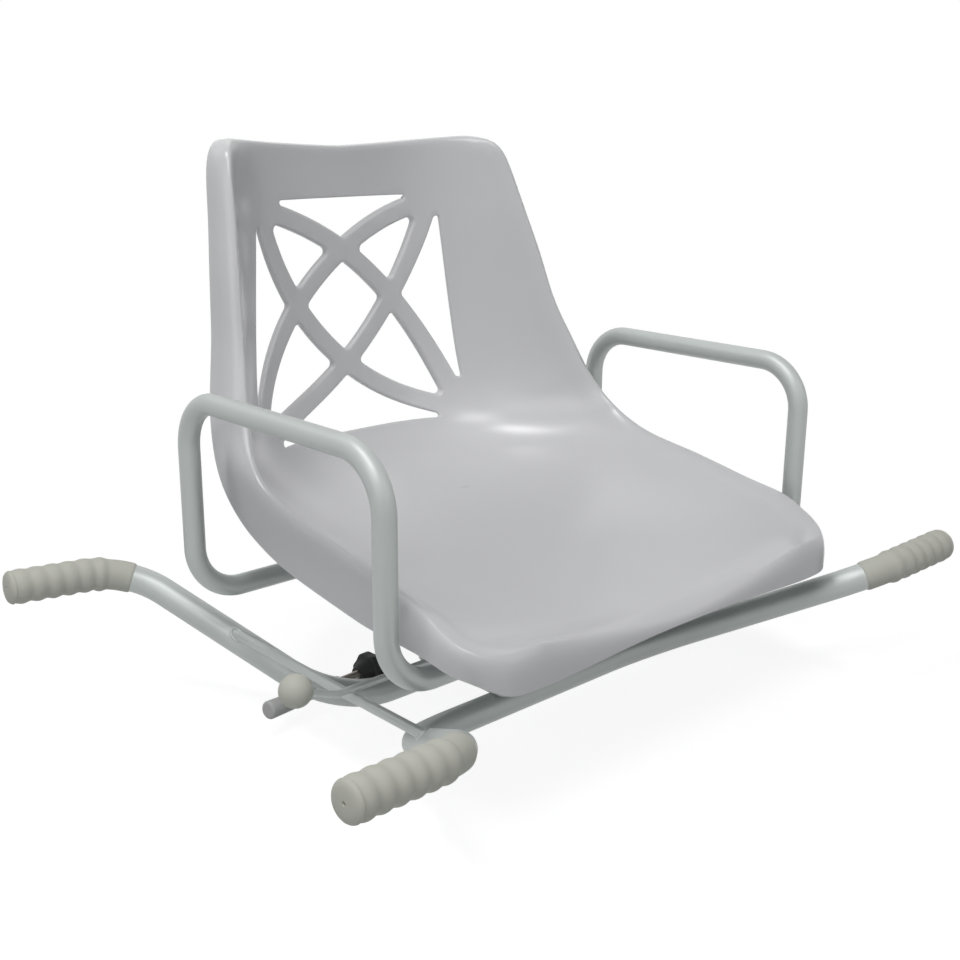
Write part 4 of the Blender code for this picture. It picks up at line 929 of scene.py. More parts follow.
@dataclass
class Pedestal:
    """The welded pedestal, the bearing and the kingpin."""

    tubes: TubeFrame
    edge: float = 0.0008
    weld_radius: float = 0.0016
    weld_offset: float = 0.0047
    weld_inset: float = 0.016
    base_size: Pair = (0.108, 0.124)
    base_corner: float = 0.012
    post_radius: float = 0.030
    post_wall: float = 0.003
    plate_radius: float = 0.042
    washer_radius: float = 0.040
    ear_radius: float = 0.015
    kingpin_radius: float = 0.008
    kingpin_width: float = 0.024
    kingpin_washer: float = 0.017
    thread_length: float = 0.018
    thread_pitch: float = 0.002
    thread_depth: float = 0.0008

    def build(self) -> None:
        """Model and dress the pedestal from the base plate up."""
        outline = rounded_rectangle(*self.base_size, self.base_corner)
        dress(node_plate("base", "base_plate", outline, self.edge), FRAME_PAINT, "frame", "base_plate")
        self.build_welds()
        inner = self.post_radius - self.post_wall
        post = node_ring("post", "pedestal_tube", self.post_radius, inner, 0.0005, steps=72)
        dress(post, FRAME_PAINT, "frame", "pedestal_tube")
        bores = ((SWIVEL_BORE, (0, 0)), (PIVOT_BORE, LEVER_PIVOT))
        table = node_plate("bearing_table", "bearing_plate", self.ear_outline(), self.edge, *bores)
        dress(table, FRAME_PAINT, "frame", "bearing_plate")
        glide = node_ring("glide_ring", "thrust_washer", self.washer_radius, SWIVEL_BORE, 0.0004)
        dress(glide, NYLON, "frame", "thrust_washer")
        self.build_kingpin()

    def build_welds(self) -> None:
        """Lay the weld beads round the post and along the cross tubes."""
        low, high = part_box("base_plate")
        for name, height in (("post_foot_weld", high[2]), ("post_head_weld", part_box("bearing_plate")[0][2])):
            angles = [TURN * i / 72 for i in range(72)]
            radius = self.post_radius
            path = [Vector((radius * math.cos(a), radius * math.sin(a), height)) for a in angles]
            weld(name, path, self.weld_radius, True, "frame")
        length = self.base_size[0] / 2 - self.weld_inset
        for end in End:
            for out in (-1, 1):
                y = end.value * self.tubes.cross_y + out * self.weld_offset
                path = [Vector((x, y, low[2] - 0.0004)) for x in (-length, -length / 3, length / 3, length)]
                word = "outer" if out == end.value else "inner"
                weld(f"base_{end.word}_weld_{word}", path, self.weld_radius, False, "frame")

    def ear_outline(self) -> list[Pair]:
        """Outline of the bearing plate: a disc drawn out to an ear round the lever's pivot."""
        reach = Vector(LEVER_PIVOT)
        heading = math.atan2(reach.y, reach.x)
        spread = math.acos((self.plate_radius - self.ear_radius) / reach.length)
        plate = arc((0, 0), self.plate_radius, heading + spread, heading + TURN - spread, 60)
        return plate + arc(LEVER_PIVOT, self.ear_radius, heading - spread, heading + spread, 20)

    def build_kingpin(self) -> None:
        """Model the kingpin, its washer and its nut."""
        low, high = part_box("kingpin")
        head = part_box("bearing_plate")[0][2] - LOOSE
        bolt = hexagon("swivel_bolt", self.kingpin_width, head - low[2], Vector((0, 0, low[2])))
        length = high[2] - head - self.thread_length + 0.002
        shank = round_bar("shank", self.kingpin_radius, length, (0, 0, head - 0.001), UP, steps=40)
        start = Vector((0, 0, high[2] - self.thread_length))
        sizes = (self.kingpin_radius, self.thread_depth, self.thread_pitch, self.thread_length)
        for part in (shank, threaded("thread", *sizes, start)):
            work_in(bolt, part, Merge.JOIN)
        dress(bolt, ZINC, "frame", "kingpin", sharp=28)
        washer = node_ring("swivel_washer", "kingpin_washer", self.kingpin_washer, SWIVEL_BORE, 0.0003)
        dress(washer, ZINC, "frame", "kingpin_washer")
        add_nut("swivel_nut", "kingpin_nut", self.kingpin_width, SWIVEL_BORE, (0, 0), 0.04)


@dataclass
class Swivel:
    """What turns under the shell: the index disc, the hub, the plate, the arm loops and the screws."""

    disc_radius: float = 0.046
    notch_width: float = 0.013
    notch_depth: float = 0.008
    hub_radius: float = 0.025
    edge: float = 0.0005
    plate_size: Pair = (0.170, 0.286)
    plate_corner: float = 0.012
    plate_edge: float = 0.0008
    weld_radius: float = 0.0014
    weld_start: float = 0.020
    weld_length: float = 0.058
    weld_offset: float = 0.0040
    weld_lift: float = 0.0007
    arm_radius: float = 0.00915
    arm_wall: float = 0.0015
    arm_x: float = 0.2505
    bar_z: float = 0.1239
    top_z: float = 0.2997
    arm_bend: float = 0.0435
    inner_end: float = 0.014
    hollow_depth: float = 0.030
    screw_radius: float = 0.003
    screw_width: float = 0.010
    screw_head: float = 0.004

    def build(self) -> None:
        """Model and dress the turning parts."""
        bore = (SWIVEL_BORE, (0, 0))
        notched = node_plate("notched_disc", "index_disc", self.disc_outline(), self.edge, bore)
        dress(notched, ZINC, "seat", "index_disc")
        hub = node_ring("hub", "hub_spacer", self.hub_radius, SWIVEL_BORE, self.edge)
        dress(hub, FRAME_PAINT, "seat", "hub_spacer")
        outline = rounded_rectangle(*self.plate_size, self.plate_corner, (0, sum(ARM_Y.values()) / 2))
        plate = node_plate("turning_plate", "swivel_plate", outline, self.plate_edge, bore)
        dress(plate, FRAME_PAINT, "seat", "swivel_plate")
        for end in End:
            for side in Side:
                self.build_loop_welds(end, side)
        for side in Side:
            self.build_loop(side)
        for end in End:
            for side in Side:
                self.build_screw(end, side)

    def disc_outline(self) -> list[Pair]:
        """Outline of the index disc with a notch for each locked direction."""
        half = math.asin(self.notch_width / 2 / self.disc_radius)
        points: list[Pair] = []
        for quarter in range(4):
            middle = -math.pi / 2 + quarter * math.pi / 2
            out = Vector((math.cos(middle), math.sin(middle)))
            across = Vector((-out.y, out.x))
            for sign in (-1, 1):
                corner = out * (self.disc_radius - self.notch_depth) + across * sign * self.notch_width / 2
                points.append((corner.x, corner.y))
            points += arc((0, 0), self.disc_radius, middle + half, middle + math.pi / 2 - half, 18)
        return points

    def build_loop_welds(self, end: End, side: Side) -> None:
        """Lay the two welds between the plate and one end of an arm loop.

        Args:
            end: The loop's end.
            side: The loop's side.
        """
        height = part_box("swivel_plate")[1][2] + self.weld_lift
        xs = [side.value * (self.weld_start + self.weld_length * i / 3) for i in range(4)]
        for out, letter in ((-1, "a"), (1, "b")):
            path = [Vector((x, ARM_Y[end] + out * self.weld_offset, height)) for x in xs]
            weld(f"loop_weld_{side.word}_{end.word}_{letter}", path, self.weld_radius, False, "seat")

    def build_loop(self, side: Side) -> None:
        """Model one arm loop, its two bare tube ends under the seat.

        Args:
            side: The loop's side.
        """
        x, inner = side.value * self.arm_x, side.value * self.inner_end
        front, rear = ARM_Y.values()
        corners = [
            Vector(place) for place in (
                (inner, front, self.bar_z), (x, front, self.bar_z), (x, front, self.top_z),
                (x, rear, self.top_z), (x, rear, self.bar_z), (inner, rear, self.bar_z),
            )
        ]
        loop = bent_tube(f"{side.word}_arm_loop", corners, [self.arm_bend] * 4, self.arm_radius, 36, 4.0)
        bore = self.arm_radius - self.arm_wall
        for y in (front, rear):
            start = Vector((inner - side.value * 0.002, y, self.bar_z))
            hollow = round_bar("hollow", bore, self.hollow_depth, start, (side.value, 0, 0), steps=36)
            work_in(loop, hollow, Merge.CUT)
        dress(loop, FRAME_PAINT, "seat", f"{side.word}_armrest")

    def build_screw(self, end: End, side: Side) -> None:
        """Model one seat screw with its hexagon head.

        Args:
            end: The end that it lies at.
            side: The side that it lies on.
        """
        node = f"seat_screw_{end.word}_{side.word}"
        low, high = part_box(node)
        base = Vector((side.value * SCREW_X, ARM_Y[end], low[2]))
        screw = hexagon(f"{end.word}_{side.word}_screw", self.screw_width, self.screw_head, base)
        sunk = self.screw_head - 0.0005
        length = high[2] - low[2] - sunk
        shank = round_bar("shank", self.screw_radius, length, base + UP * sunk, UP, 0.0004, 20)
        work_in(screw, shank, Merge.JOIN)
        dress(screw, ZINC, "seat", node, sharp=28)


# Lever


@dataclass
class LockingLever:
    """The latch bar, its rod and ball, and the sprung pivot."""

    bar_width: float = 0.012
    bar_edge: float = 0.0006
    outer_end: float = -0.105
    inner_end: float = 0.010
    tooth_width: float = 0.010
    tooth_tip: float = -0.039
    swing: float = math.radians(6.5)
    rod_radius: float = 0.003
    rod_y: float = -0.052
    rod_lap: float = 0.002
    rise_start: float = -0.228
    rod_bend: float = 0.025
    weld_radius: float = 0.0011
    ball: Spot = (-0.266, -0.051, 0.0977)
    ball_radius: float = 0.0135
    collar_height: float = 0.004
    coil_radius: float = 0.0056
    wire_radius: float = 0.0006
    coil_turns: int = 3
    coil_pitch: float = 0.0022
    bolt_radius: float = 0.004
    bolt_width: float = 0.013
    bolt_head: float = 0.005
    thread_depth: float = 0.0006
    thread_pitch: float = 0.00125
    washer_radius: float = 0.0075
    nut_bore: float = 0.0042

    def build(self) -> None:
        """Model and dress the lever."""
        low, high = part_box("latch_bar")
        bar = node_plate("latch", "latch_bar", self.bar_outline(), self.bar_edge, (PIVOT_BORE, LEVER_PIVOT))
        dress(bar, ZINC, "lever", "latch_bar")
        self.build_rod((low[2] + high[2]) / 2)
        self.build_spring(high[2])
        self.build_pivot()

    def swung(self, x: float, y: float) -> Pair:
        """Where a point of the locked bar lies when the lever is freed."""
        reach = Matrix.Rotation(-self.swing, 2) @ (Vector((x, y)) - Vector(LEVER_PIVOT))
        return (LEVER_PIVOT[0] + reach.x, LEVER_PIVOT[1] + reach.y)

    def bar_outline(self) -> list[Pair]:
        """Outline of the cranked latch bar with its tooth."""
        pivot_x, pivot_y = LEVER_PIVOT
        half, tooth = self.bar_width / 2, self.tooth_width / 2
        crank = half * math.tan(self.swing / 2)
        low, high = pivot_y - half, pivot_y + half
        locked = [
            (pivot_x + crank, low), (self.inner_end, low), (self.inner_end, high), (tooth, high),
            (tooth, self.tooth_tip), (-tooth, self.tooth_tip), (-tooth, high), (pivot_x - crank, high),
        ]
        return [(self.outer_end, low), *(self.swung(*point) for point in locked), (self.outer_end, high)]

    def build_rod(self, height: float) -> None:
        """Model the rod with its weld, and the ball.

        Args:
            height: Height of the bar's middle.
        """
        ball = Vector(self.ball)
        rise = Vector((self.rise_start, self.rod_y, height))
        into = (ball - rise).normalized()
        start = Vector((self.outer_end + self.rod_lap, self.rod_y, height))
        path = [start, rise, ball - into * 0.004]
        rod = bent_tube("handle_rod", path, (self.rod_bend,), self.rod_radius, 24)
        dress(rod, FRAME_PAINT, "lever", "lever_rod")
        radius = self.rod_radius
        seam = [
            Vector((self.outer_end, self.rod_y + radius * math.cos(a), height + radius * math.sin(a)))
            for a in (TURN * i / 24 for i in range(24))
        ]
        weld("handle_weld", seam, self.weld_radius, True, "lever")
        reach = self.ball_radius
        angles = [-math.pi / 2 + math.pi * i / 36 for i in range(1, 36)]
        profile = [(0.0, -reach), *((reach * math.cos(a), reach * math.sin(a)) for a in angles), (0.0, reach)]
        knob = turned("handle_ball", profile, ball, into, 64)
        wide = radius + 0.0022
        collar = [(0.0, 0.0), (radius + 0.0016, 0.0), (wide, 0.0016), (wide, self.collar_height),
                  (0.0, self.collar_height)]
        work_in(knob, turned("collar", collar, ball - into * (reach + 0.0006), into, 32), Merge.JOIN)
        dress(knob, SLEEVE_PLASTIC, "lever", "lever_ball", sharp=40)

    def build_spring(self, bar_top: float) -> None:
        """Model the compression spring round the pivot bolt.

        Args:
            bar_top: Height of the bar's top face.
        """
        start = Vector((*LEVER_PIVOT, bar_top + LOOSE + self.wire_radius))
        path = []
        steps = 40 * self.coil_turns
        for i in range(steps + 1):
            turns = self.coil_turns * i / steps
            out = Vector((math.cos(TURN * turns), math.sin(TURN * turns), 0)) * self.coil_radius
            path.append(start + out + Vector((0, 0, self.coil_pitch * turns)))
        coil = bead("pivot_coil", path, self.wire_radius, False, 12)
        dress(coil, ZINC, "frame", "pivot_spring", sharp=60)

    def build_pivot(self) -> None:
        """Model the pivot's bolt, washer and nut."""
        low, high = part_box("lever_pivot_bolt")
        top = Vector((*LEVER_PIVOT, high[2]))
        bolt = hexagon("pivot_bolt", self.bolt_width, self.bolt_head, top, -UP)
        sunk = self.bolt_head - 0.0005
        sizes = (self.bolt_radius, self.thread_depth, self.thread_pitch, high[2] - low[2] - sunk)
        work_in(bolt, threaded("shank", *sizes, top - UP * sunk, -UP), Merge.JOIN)
        dress(bolt, ZINC, "frame", "lever_pivot_bolt", sharp=28)
        washer = node_ring(
            "pivot_washer", "lever_pivot_washer", self.washer_radius, PIVOT_BORE, 0.0003, LEVER_PIVOT, 40
        )
        dress(washer, NYLON, "frame", "lever_pivot_washer")
        add_nut("pivot_nut", "lever_pivot_nut", self.bolt_width, self.nut_bore, LEVER_PIVOT, 0.03)


# Stabilisers


@dataclass
class Stabiliser:
    """One screw through the rear tube's bend, with its bush, its foot and its star knob."""

    side: Side
    centre: Spot = (0.155869, 0.067097, 0.023809)
    heading: float = math.radians(9)
    pitch: float = math.radians(3)
    screw_radius: float = 0.004
    screw_lap: float = 0.0157
    thread_pitch: float = 0.00125
    thread_depth: float = 0.0005
    bush_radius: float = 0.006
    bush_outer: float = 0.024
    bush_inner: float = 0.019
    foot_start: float = 0.040
    foot_length: float = 0.0285
    foot_radius: float = 0.0082
    foot_neck: float = 0.0076
    foot_rounding: float = 0.0025
    socket_depth: float = 0.016
    knob_start: float = 0.044
    hub_length: float = 0.011
    hub_radius: float = 0.0075
    neck_radius: float = 0.0125
    head_length: float = 0.012
    head_radius: float = 0.0168
    head_border: float = 0.0035
    head_dish: float = 0.0008
    head_edge: float = 0.0014
    lobes: int = 6
    lobe_depth: float = 0.0022

    @property
    def out(self) -> Vector:
        """The outward direction of the screw."""
        level = math.cos(self.pitch)
        across = self.side.value * math.cos(self.heading) * level
        return Vector((across, -math.sin(self.heading) * level, math.sin(self.pitch)))

    def at(self, distance: float) -> Vector:
        """The point of the axis at a distance outwards from the tube's middle."""
        x, y, z = self.centre
        return Vector((self.side.value * x, y, z)) + self.out * distance

    def build(self) -> None:
        """Model and dress the stabiliser."""
        word = self.side.word
        length = self.bush_inner + self.bush_outer
        bore = self.screw_radius + LOOSE
        bush = ring_plate(
            f"{word}_bush", self.bush_radius, bore, length, self.at(-self.bush_inner), self.out, 0.0004, 40
        )
        dress(bush, FRAME_PAINT, "frame", f"{word}_screw_bush")
        start = -(self.knob_start + self.screw_lap)
        reach = self.foot_start + self.screw_lap - start
        sizes = (self.screw_radius, self.thread_depth, self.thread_pitch, reach)
        screw = threaded(f"{word}_spindle", *sizes, self.at(start), self.out)
        dress(screw, THREAD_STEEL, f"{word}_screw", f"{word}_screw", sharp=60)
        self.build_foot()
        self.build_knob()

    def build_foot(self) -> None:
        """Model the foot with its rounded edge and its socket."""
        word = self.side.word
        wide, neck, long, rounding = self.foot_radius, self.foot_neck, self.foot_length, self.foot_rounding
        bore, depth = self.screw_radius + 0.0004, self.socket_depth
        profile = [
            (0.0, depth), (bore, depth), (bore, 0.0006), (bore + 0.0006, 0.0), (neck - 0.0012, 0.0),
            (neck - 0.0004, 0.0004), (neck, 0.0014),
        ]
        profile += [(neck + (wide - neck) * i / 4, 0.0014 + (long - 0.0042) * i / 4) for i in range(1, 5)]
        for angle in (15, 35, 55, 75, 90):
            a = math.radians(angle)
            out, along = rounding * math.cos(a), rounding * math.sin(a)
            profile.append((wide - rounding + out, long - rounding + along))
        profile += [(wide * 0.4, long), (0.0, long)]
        foot = turned(f"{word}_pad", profile, self.at(self.foot_start), self.out)
        dress(foot, FOOT_PLASTIC, f"{word}_foot", f"{word}_foot", sharp=50)

    def build_knob(self) -> None:
        """Model the six-lobed knob: a shaped face drawn out into a head and a tapered hub."""
        count = self.lobes * 12
        knob = disc(f"{self.side.word}_hand_knob", count, self.head_radius)
        for i, vertex in enumerate(knob.data.vertices):
            angle = TURN * i / count
            dip = (1 - math.cos(self.lobes * angle)) / 2
            reach = self.head_radius - self.lobe_depth * dip**0.8
            vertex.co = (reach * math.cos(angle), reach * math.sin(angle), self.hub_length)
        with editing("FACE"):
            extrude(Vector((0, 0, self.head_length)))
            bpy.ops.mesh.inset(thickness=self.head_border, depth=0.0)
            bpy.ops.transform.translate(value=(0, 0, -self.head_dish))
        soften(knob, self.head_edge, 3, 50)
        turn_outwards(knob)
        low, high = self.hub_length + 0.001, self.hub_length + 0.004
        hub = [
            (0.0, 0.0), (self.hub_radius - 0.0006, 0.0), (self.hub_radius, 0.0006), (self.neck_radius, low),
            (self.neck_radius, high), (0.0, high),
        ]
        work_in(knob, turned("hub", hub, (0, 0, 0), UP, 36), Merge.JOIN)
        work_in(knob, round_bar("socket", self.screw_radius + LOOSE, 0.018, (0, 0, -0.002), UP), Merge.CUT)
        knob.matrix_world = pointing(self.at(-self.knob_start), -self.out)
        dress(knob, KNOB_PLASTIC, f"{self.side.word}_screw", f"{self.side.word}_star_knob", sharp=32)


# Seat shell: keys run from the front edge (0) over the pan and the turn to the top edge (1).
# Each key holds shares of the shell's own sizes; the flange's keys are in centimetres.

CENTRE_KEYS: Keys = (
    (0.00, (0.000, 0.000)), (0.10, (0.034, 0.004)), (0.20, (0.105, 0.003)), (0.30, (0.220, 0.006)),
    (0.40, (0.400, 0.018)), (0.50, (0.610, 0.041)), (0.57, (0.750, 0.071)), (0.63, (0.862, 0.111)),
    (0.68, (0.940, 0.170)), (0.73, (0.980, 0.264)), (0.79, (0.991, 0.400)), (0.86, (0.995, 0.590)),
    (0.93, (0.998, 0.780)), (0.97, (1.000, 0.930)), (1.00, (1.000, 1.000)),
)
CREST_KEYS: Keys = (
    (0.00, (0.730, 0.000, 0.057)), (0.04, (0.860, 0.004, 0.053)), (0.08, (0.930, 0.018, 0.055)),
    (0.12, (0.972, 0.040, 0.064)), (0.16, (0.995, 0.075, 0.082)), (0.22, (1.000, 0.131, 0.114)),
    (0.30, (0.990, 0.232, 0.139)), (0.40, (0.985, 0.360, 0.172)), (0.50, (0.974, 0.500, 0.204)),
    (0.58, (0.974, 0.592, 0.247)), (0.64, (0.955, 0.650, 0.304)), (0.69, (0.920, 0.684, 0.368)),
    (0.74, (0.888, 0.714, 0.450)), (0.80, (0.845, 0.752, 0.560)), (0.86, (0.808, 0.786, 0.700)),
    (0.91, (0.765, 0.824, 0.842)), (0.94, (0.739, 0.852, 0.940)), (0.965, (0.718, 0.869, 0.990)),
    (0.985, (0.692, 0.892, 1.016)), (1.00, (0.640, 0.926, 1.025)),
)
CURVE_KEYS: Keys = (
    (0.00, (2.0, 1.6)), (0.20, (2.2, 2.4)), (0.45, (2.6, 3.0)), (0.65, (3.2, 3.2)),
    (0.85, (3.6, 3.2)), (0.93, (3.6, 2.4)), (1.00, (3.6, 1.3)),
)
FLANGE_KEYS: Keys = (
    (0.00, (0.0, -0.9, 0.0, 0.0, 0.0, -3.2)), (0.04, (0.1, -0.8, 0.0, 0.0, 0.0, -3.1)),
    (0.08, (0.15, -0.45, 0.0, 0.0, 0.0, -2.6)), (0.12, (0.3, -0.2, 0.0, 0.0, 0.0, -2.35)),
    (0.16, (0.55, -0.1, 0.0, 0.0, 0.0, -2.45)), (0.22, (0.7, 0.0, 0.0, 0.0, -0.1, -3.0)),
    (0.35, (1.0, 0.0, 0.0, 0.0, -0.1, -4.0)), (0.50, (1.2, 0.0, 0.0, 0.0, 0.1, -4.25)),
    (0.58, (1.3, 0.0, 0.0, 0.0, 0.7, -4.0)), (0.63, (1.5, 0.0, 0.0, 0.0, 1.9, -3.45)),
    (0.675, (1.75, 0.0, 0.0, 0.0, 3.0, -2.4)), (0.72, (1.8, 0.0, 0.0, -0.3, 3.8, -1.2)),
    (0.76, (1.65, 0.0, 0.0, -0.5, 3.9, -0.4)), (0.80, (1.53, 0.0, 0.0, -0.6, 3.75, 0.0)),
    (0.90, (1.43, 0.0, 0.1, -0.6, 3.3, 0.0)), (0.95, (1.27, 0.0, 0.1, -0.5, 2.9, 0.0)),
    (0.98, (0.8, 0.0, 0.2, -0.3, 2.5, -0.1)), (1.00, (0.0, 0.0, 0.2, 0.0, 2.2, -0.2)),
)


def smooth_value(keys: Keys, at: float) -> list[float]:
    """Values that run smoothly and without overshoot through the keys.

    Args:
        keys: Places and the values there.
        at: The place asked for.

    Returns:
        The values at that place.
    """
    last = len(keys) - 1
    i = max(0, min(last - 1, sum(1 for key in keys if key[0] <= at) - 1))
    span = keys[i + 1][0] - keys[i][0]
    share = min(1.0, max(0.0, (at - keys[i][0]) / span))

    def rate(k: int, axis: int) -> float:
        """The change per unit of place between two keys."""
        return (keys[k][1][axis] - keys[k - 1][1][axis]) / (keys[k][0] - keys[k - 1][0])

    def slope(k: int, axis: int) -> float:
        """The curve's slope at a key."""
        if k in (0, last):
            return rate(max(k, 1), axis)
        left, right = rate(k, axis), rate(k + 1, axis)
        return 0.0 if left * right <= 0 else 2 * left * right / (left + right)

    values = []
    s2, s3 = share**2, share**3
    for axis, (a, b) in enumerate(zip(keys[i][1], keys[i + 1][1])):
        ta, tb = slope(i, axis) * span, slope(i + 1, axis) * span
        ends = a * (2 * s3 - 3 * s2 + 1) + ta * (s3 - 2 * s2 + share)
        values.append(ends + b * (3 * s2 - 2 * s3) + tb * (s3 - s2))
    return values


@dataclass(frozen=True)
class ArcEdge:
    """A circle's edge of an opening; outside is 1 where the opening lies outside the circle."""

    centre: Vector
    radius: float
    outside: int
    deep: bool = True

    def inward(self, point: Vector) -> Vector:
        """The direction from the edge into the opening."""
        return (point - self.centre).normalized() * self.outside

    def depth(self, point: Vector) -> float:
        """How far a point lies inside the opening."""
        return ((point - self.centre).length - self.radius) * self.outside

    def run(self, start: Vector, end: Vector, step: float) -> list[Vector]:
        """Points between two points of the edge.

        Args:
            start: The first point, which is left out.
            end: The last point, which is left out.
            step: The most that the points lie apart.

        Returns:
            The points in order.
        """
        first = start - self.centre
        turn = first.angle_signed(end - self.centre)
        count = max(1, math.ceil(abs(turn) * self.radius / step))
        return [self.centre + Matrix.Rotation(-turn * i / count, 2) @ first for i in range(1, count)]


@dataclass(frozen=True)
class LineEdge:
    """A straight edge of an opening, through a point, with the direction into the opening."""

    point: Vector
    into: Vector
    deep: bool = False

    def inward(self, point: Vector) -> Vector:
        """The direction from the edge into the opening."""
        return self.into.normalized()

    def depth(self, point: Vector) -> float:
        """How far a point lies inside the opening."""
        return (point - self.point).dot(self.into.normalized())

    def run(self, start: Vector, end: Vector, step: float) -> list[Vector]:
        """Points between two points of the edge, about a step apart."""
        count = max(1, math.ceil((end - start).length / step))
        return [start.lerp(end, i / count) for i in range(1, count)]


Edge = ArcEdge | LineEdge


@dataclass(frozen=True)
class RimPoint:
    """A point of an opening's outline, the way into the wall, and whether a deep bar lies there."""

    place: Vector
    out: Vector
    deep: bool


@dataclass
class BackWindow:
    """The window in the back and the lattice of crossed arcs that fills it."""

    top: float = 0.4455
    bottom: float = 0.2132
    top_half: float = 0.1095
    bottom_half: float = 0.1325
    arc_rise: float = 0.0502
    end_inset: float = 0.0063
    bar_width: float = 0.0196
    bar_depth: float = 0.0090
    corner: float = 0.0046
    tip: float = 0.0022
    tip_turn: float = -0.72
    run_step: float = 0.004
    round_steps: int = 6
    corner_rounds: int = 30

    def bar_circle(self, falling: bool, bulge: int) -> tuple[Vector, float]:
        """Centre and radius of one bar's middle line, seen from the front.

        Args:
            falling: Whether the bar falls from the left to the right.
            bulge: 1 where it bulges upwards, -1 where downwards.

        Returns:
            The centre and the radius.
        """
        start = Vector((-self.top_half, self.top))
        chord = Vector((self.bottom_half, self.bottom)) - start
        normal = Vector((-chord.y, chord.x)).normalized() * bulge
        radius = ((chord.length / 2) ** 2 + self.arc_rise**2) / (2 * self.arc_rise)
        centre = start + chord / 2 - normal * (self.end_inset + radius - self.arc_rise)
        if not falling:
            centre.x = -centre.x
        return centre, radius

    def openings(self, trim: float = 0.0, margin: float = 0.0) -> tuple[list, list]:
        """The nine openings.

        Args:
            trim: How much wider the bars are left.
            margin: How far the window's own edges are moved outwards.

        Returns:
            The four openings at the window's edges and the five inside, each a rough middle and its edges.
        """
        def bar(falling: bool, bulge: int, side: int) -> ArcEdge:
            """One side of a bar."""
            centre, radius = self.bar_circle(falling, bulge)
            return ArcEdge(centre, radius + side * (self.bar_width / 2 + trim), side)

        def spot(across: float, up: float) -> Vector:
            """A place of the window in shares of its width and height."""
            return Vector((across * self.bottom_half, self.bottom + up * (self.top - self.bottom)))

        high = LineEdge(Vector((0, self.top + margin)), Vector((0, -1)))
        low = LineEdge(Vector((0, self.bottom - margin)), Vector((0, 1)))
        lean = Vector((self.top - self.bottom, self.bottom_half - self.top_half))
        left, right = (
            LineEdge(Vector((side * (self.top_half + margin), self.top)), Vector((-side * lean.x, -lean.y)))
            for side in (-1, 1)
        )
        bars = [(True, 1), (True, -1), (False, 1), (False, -1)]
        fall_up, fall_low, rise_up, rise_low = (bar(*which, 1) for which in bars)
        under_fall_up, under_fall_low, under_rise_up, under_rise_low = (bar(*which, -1) for which in bars)
        outer = [
            (spot(0, 0.93), [high, fall_up, rise_up]),
            (spot(0, 0.06), [low, rise_low, fall_low]),
            (spot(-0.79, 0.55), [left, fall_low, rise_up]),
            (spot(0.79, 0.55), [right, fall_up, rise_low]),
        ]
        inner = [
            (spot(0, 0.55), [under_fall_up, under_rise_low, under_fall_low, under_rise_up]),
            (spot(-0.43, 0.78), [under_fall_up, under_fall_low, rise_up]),
            (spot(0.43, 0.78), [under_rise_up, under_rise_low, fall_up]),
            (spot(0.43, 0.27), [under_fall_up, under_fall_low, rise_low]),
            (spot(-0.43, 0.27), [under_rise_up, under_rise_low, fall_low]),
        ]
        return outer, inner

    def outline(self, edges: Sequence[Edge], near: Vector) -> list[RimPoint]:
        """An opening's outline with rounded corners.

        Args:
            edges: The opening's edges in order.
            near: A rough middle of the opening.

        Returns:
            The outline's points.
        """
        pairs = list(zip(edges, [*edges[1:], edges[0]]))
        middles = [self.corner_middle(edge, following, near) for edge, following in pairs]
        rim: list[RimPoint] = []
        for i, (edge, following) in enumerate(pairs):
            start, end = (
                middle - edge.inward(middle) * edge.depth(middle) for middle in (middles[i - 1], middles[i])
            )
            for place in [start, *edge.run(start, end, self.run_step), end]:
                rim.append(RimPoint(place, -edge.inward(place), edge.deep))
            first = end - middles[i]
            turn = first.angle_signed(-following.inward(middles[i]))
            for step in range(1, self.round_steps):
                reach = Matrix.Rotation(-turn * step / self.round_steps, 2) @ first
                rim.append(RimPoint(middles[i] + reach, reach.normalized(), edge.deep and following.deep))
        return rim

    def corner_middle(self, first: Edge, second: Edge, near: Vector) -> Vector:
        """The middle of the rounding between two edges.

        Args:
            first: The edge before the corner.
            second: The edge after it.
            near: A rough middle of the opening.

        Returns:
            The rounding's middle.
        """
        point = near.copy()
        for _ in range(self.corner_rounds):
            a, b = first.inward(point), second.inward(point)
            radius = self.tip if a.dot(b) < self.tip_turn else self.corner
            short_a, short_b = radius - first.depth(point), radius - second.depth(point)
            scale = a.x * b.y - a.y * b.x
            across, up = short_a * b.y - short_b * a.y, a.x * short_b - b.x * short_a
            point += Vector((across / scale, up / scale))
        return point


def join_rows(cage: bmesh.types.BMesh, rows: Sequence[Sequence[bmesh.types.BMVert]], closed: bool) -> None:
    """Fill the strips between rows of vertices.

    Args:
        cage: The mesh.
        rows: The rows, all equally long.
        closed: Whether the rows run round.
    """
    for lower, upper in zip(rows, rows[1:]):
        for i in range(len(lower) if closed else len(lower) - 1):
            j = (i + 1) % len(lower)
            cage.faces.new((lower[i], lower[j], upper[j], upper[i]))


def border(rows: Sequence[list]) -> list:
    """The outer items of a grid in order, from the first row's start."""
    up = [row[-1] for row in rows[1:]]
    return rows[0] + up + rows[-1][-2::-1] + [row[0] for row in rows[-2:0:-1]]


def finish_cage(cage: bmesh.types.BMesh, name: str) -> Solid:
    """Make a mesh an object of its own.

    Args:
        cage: The mesh, which is used up.
        name: The object's name.

    Returns:
        The object.
    """
    data = bpy.data.meshes.new(name)
    cage.to_mesh(data)
    cage.free()
    made = bpy.data.objects.new(name, data)
    bpy.context.scene.collection.objects.link(made)
    return made


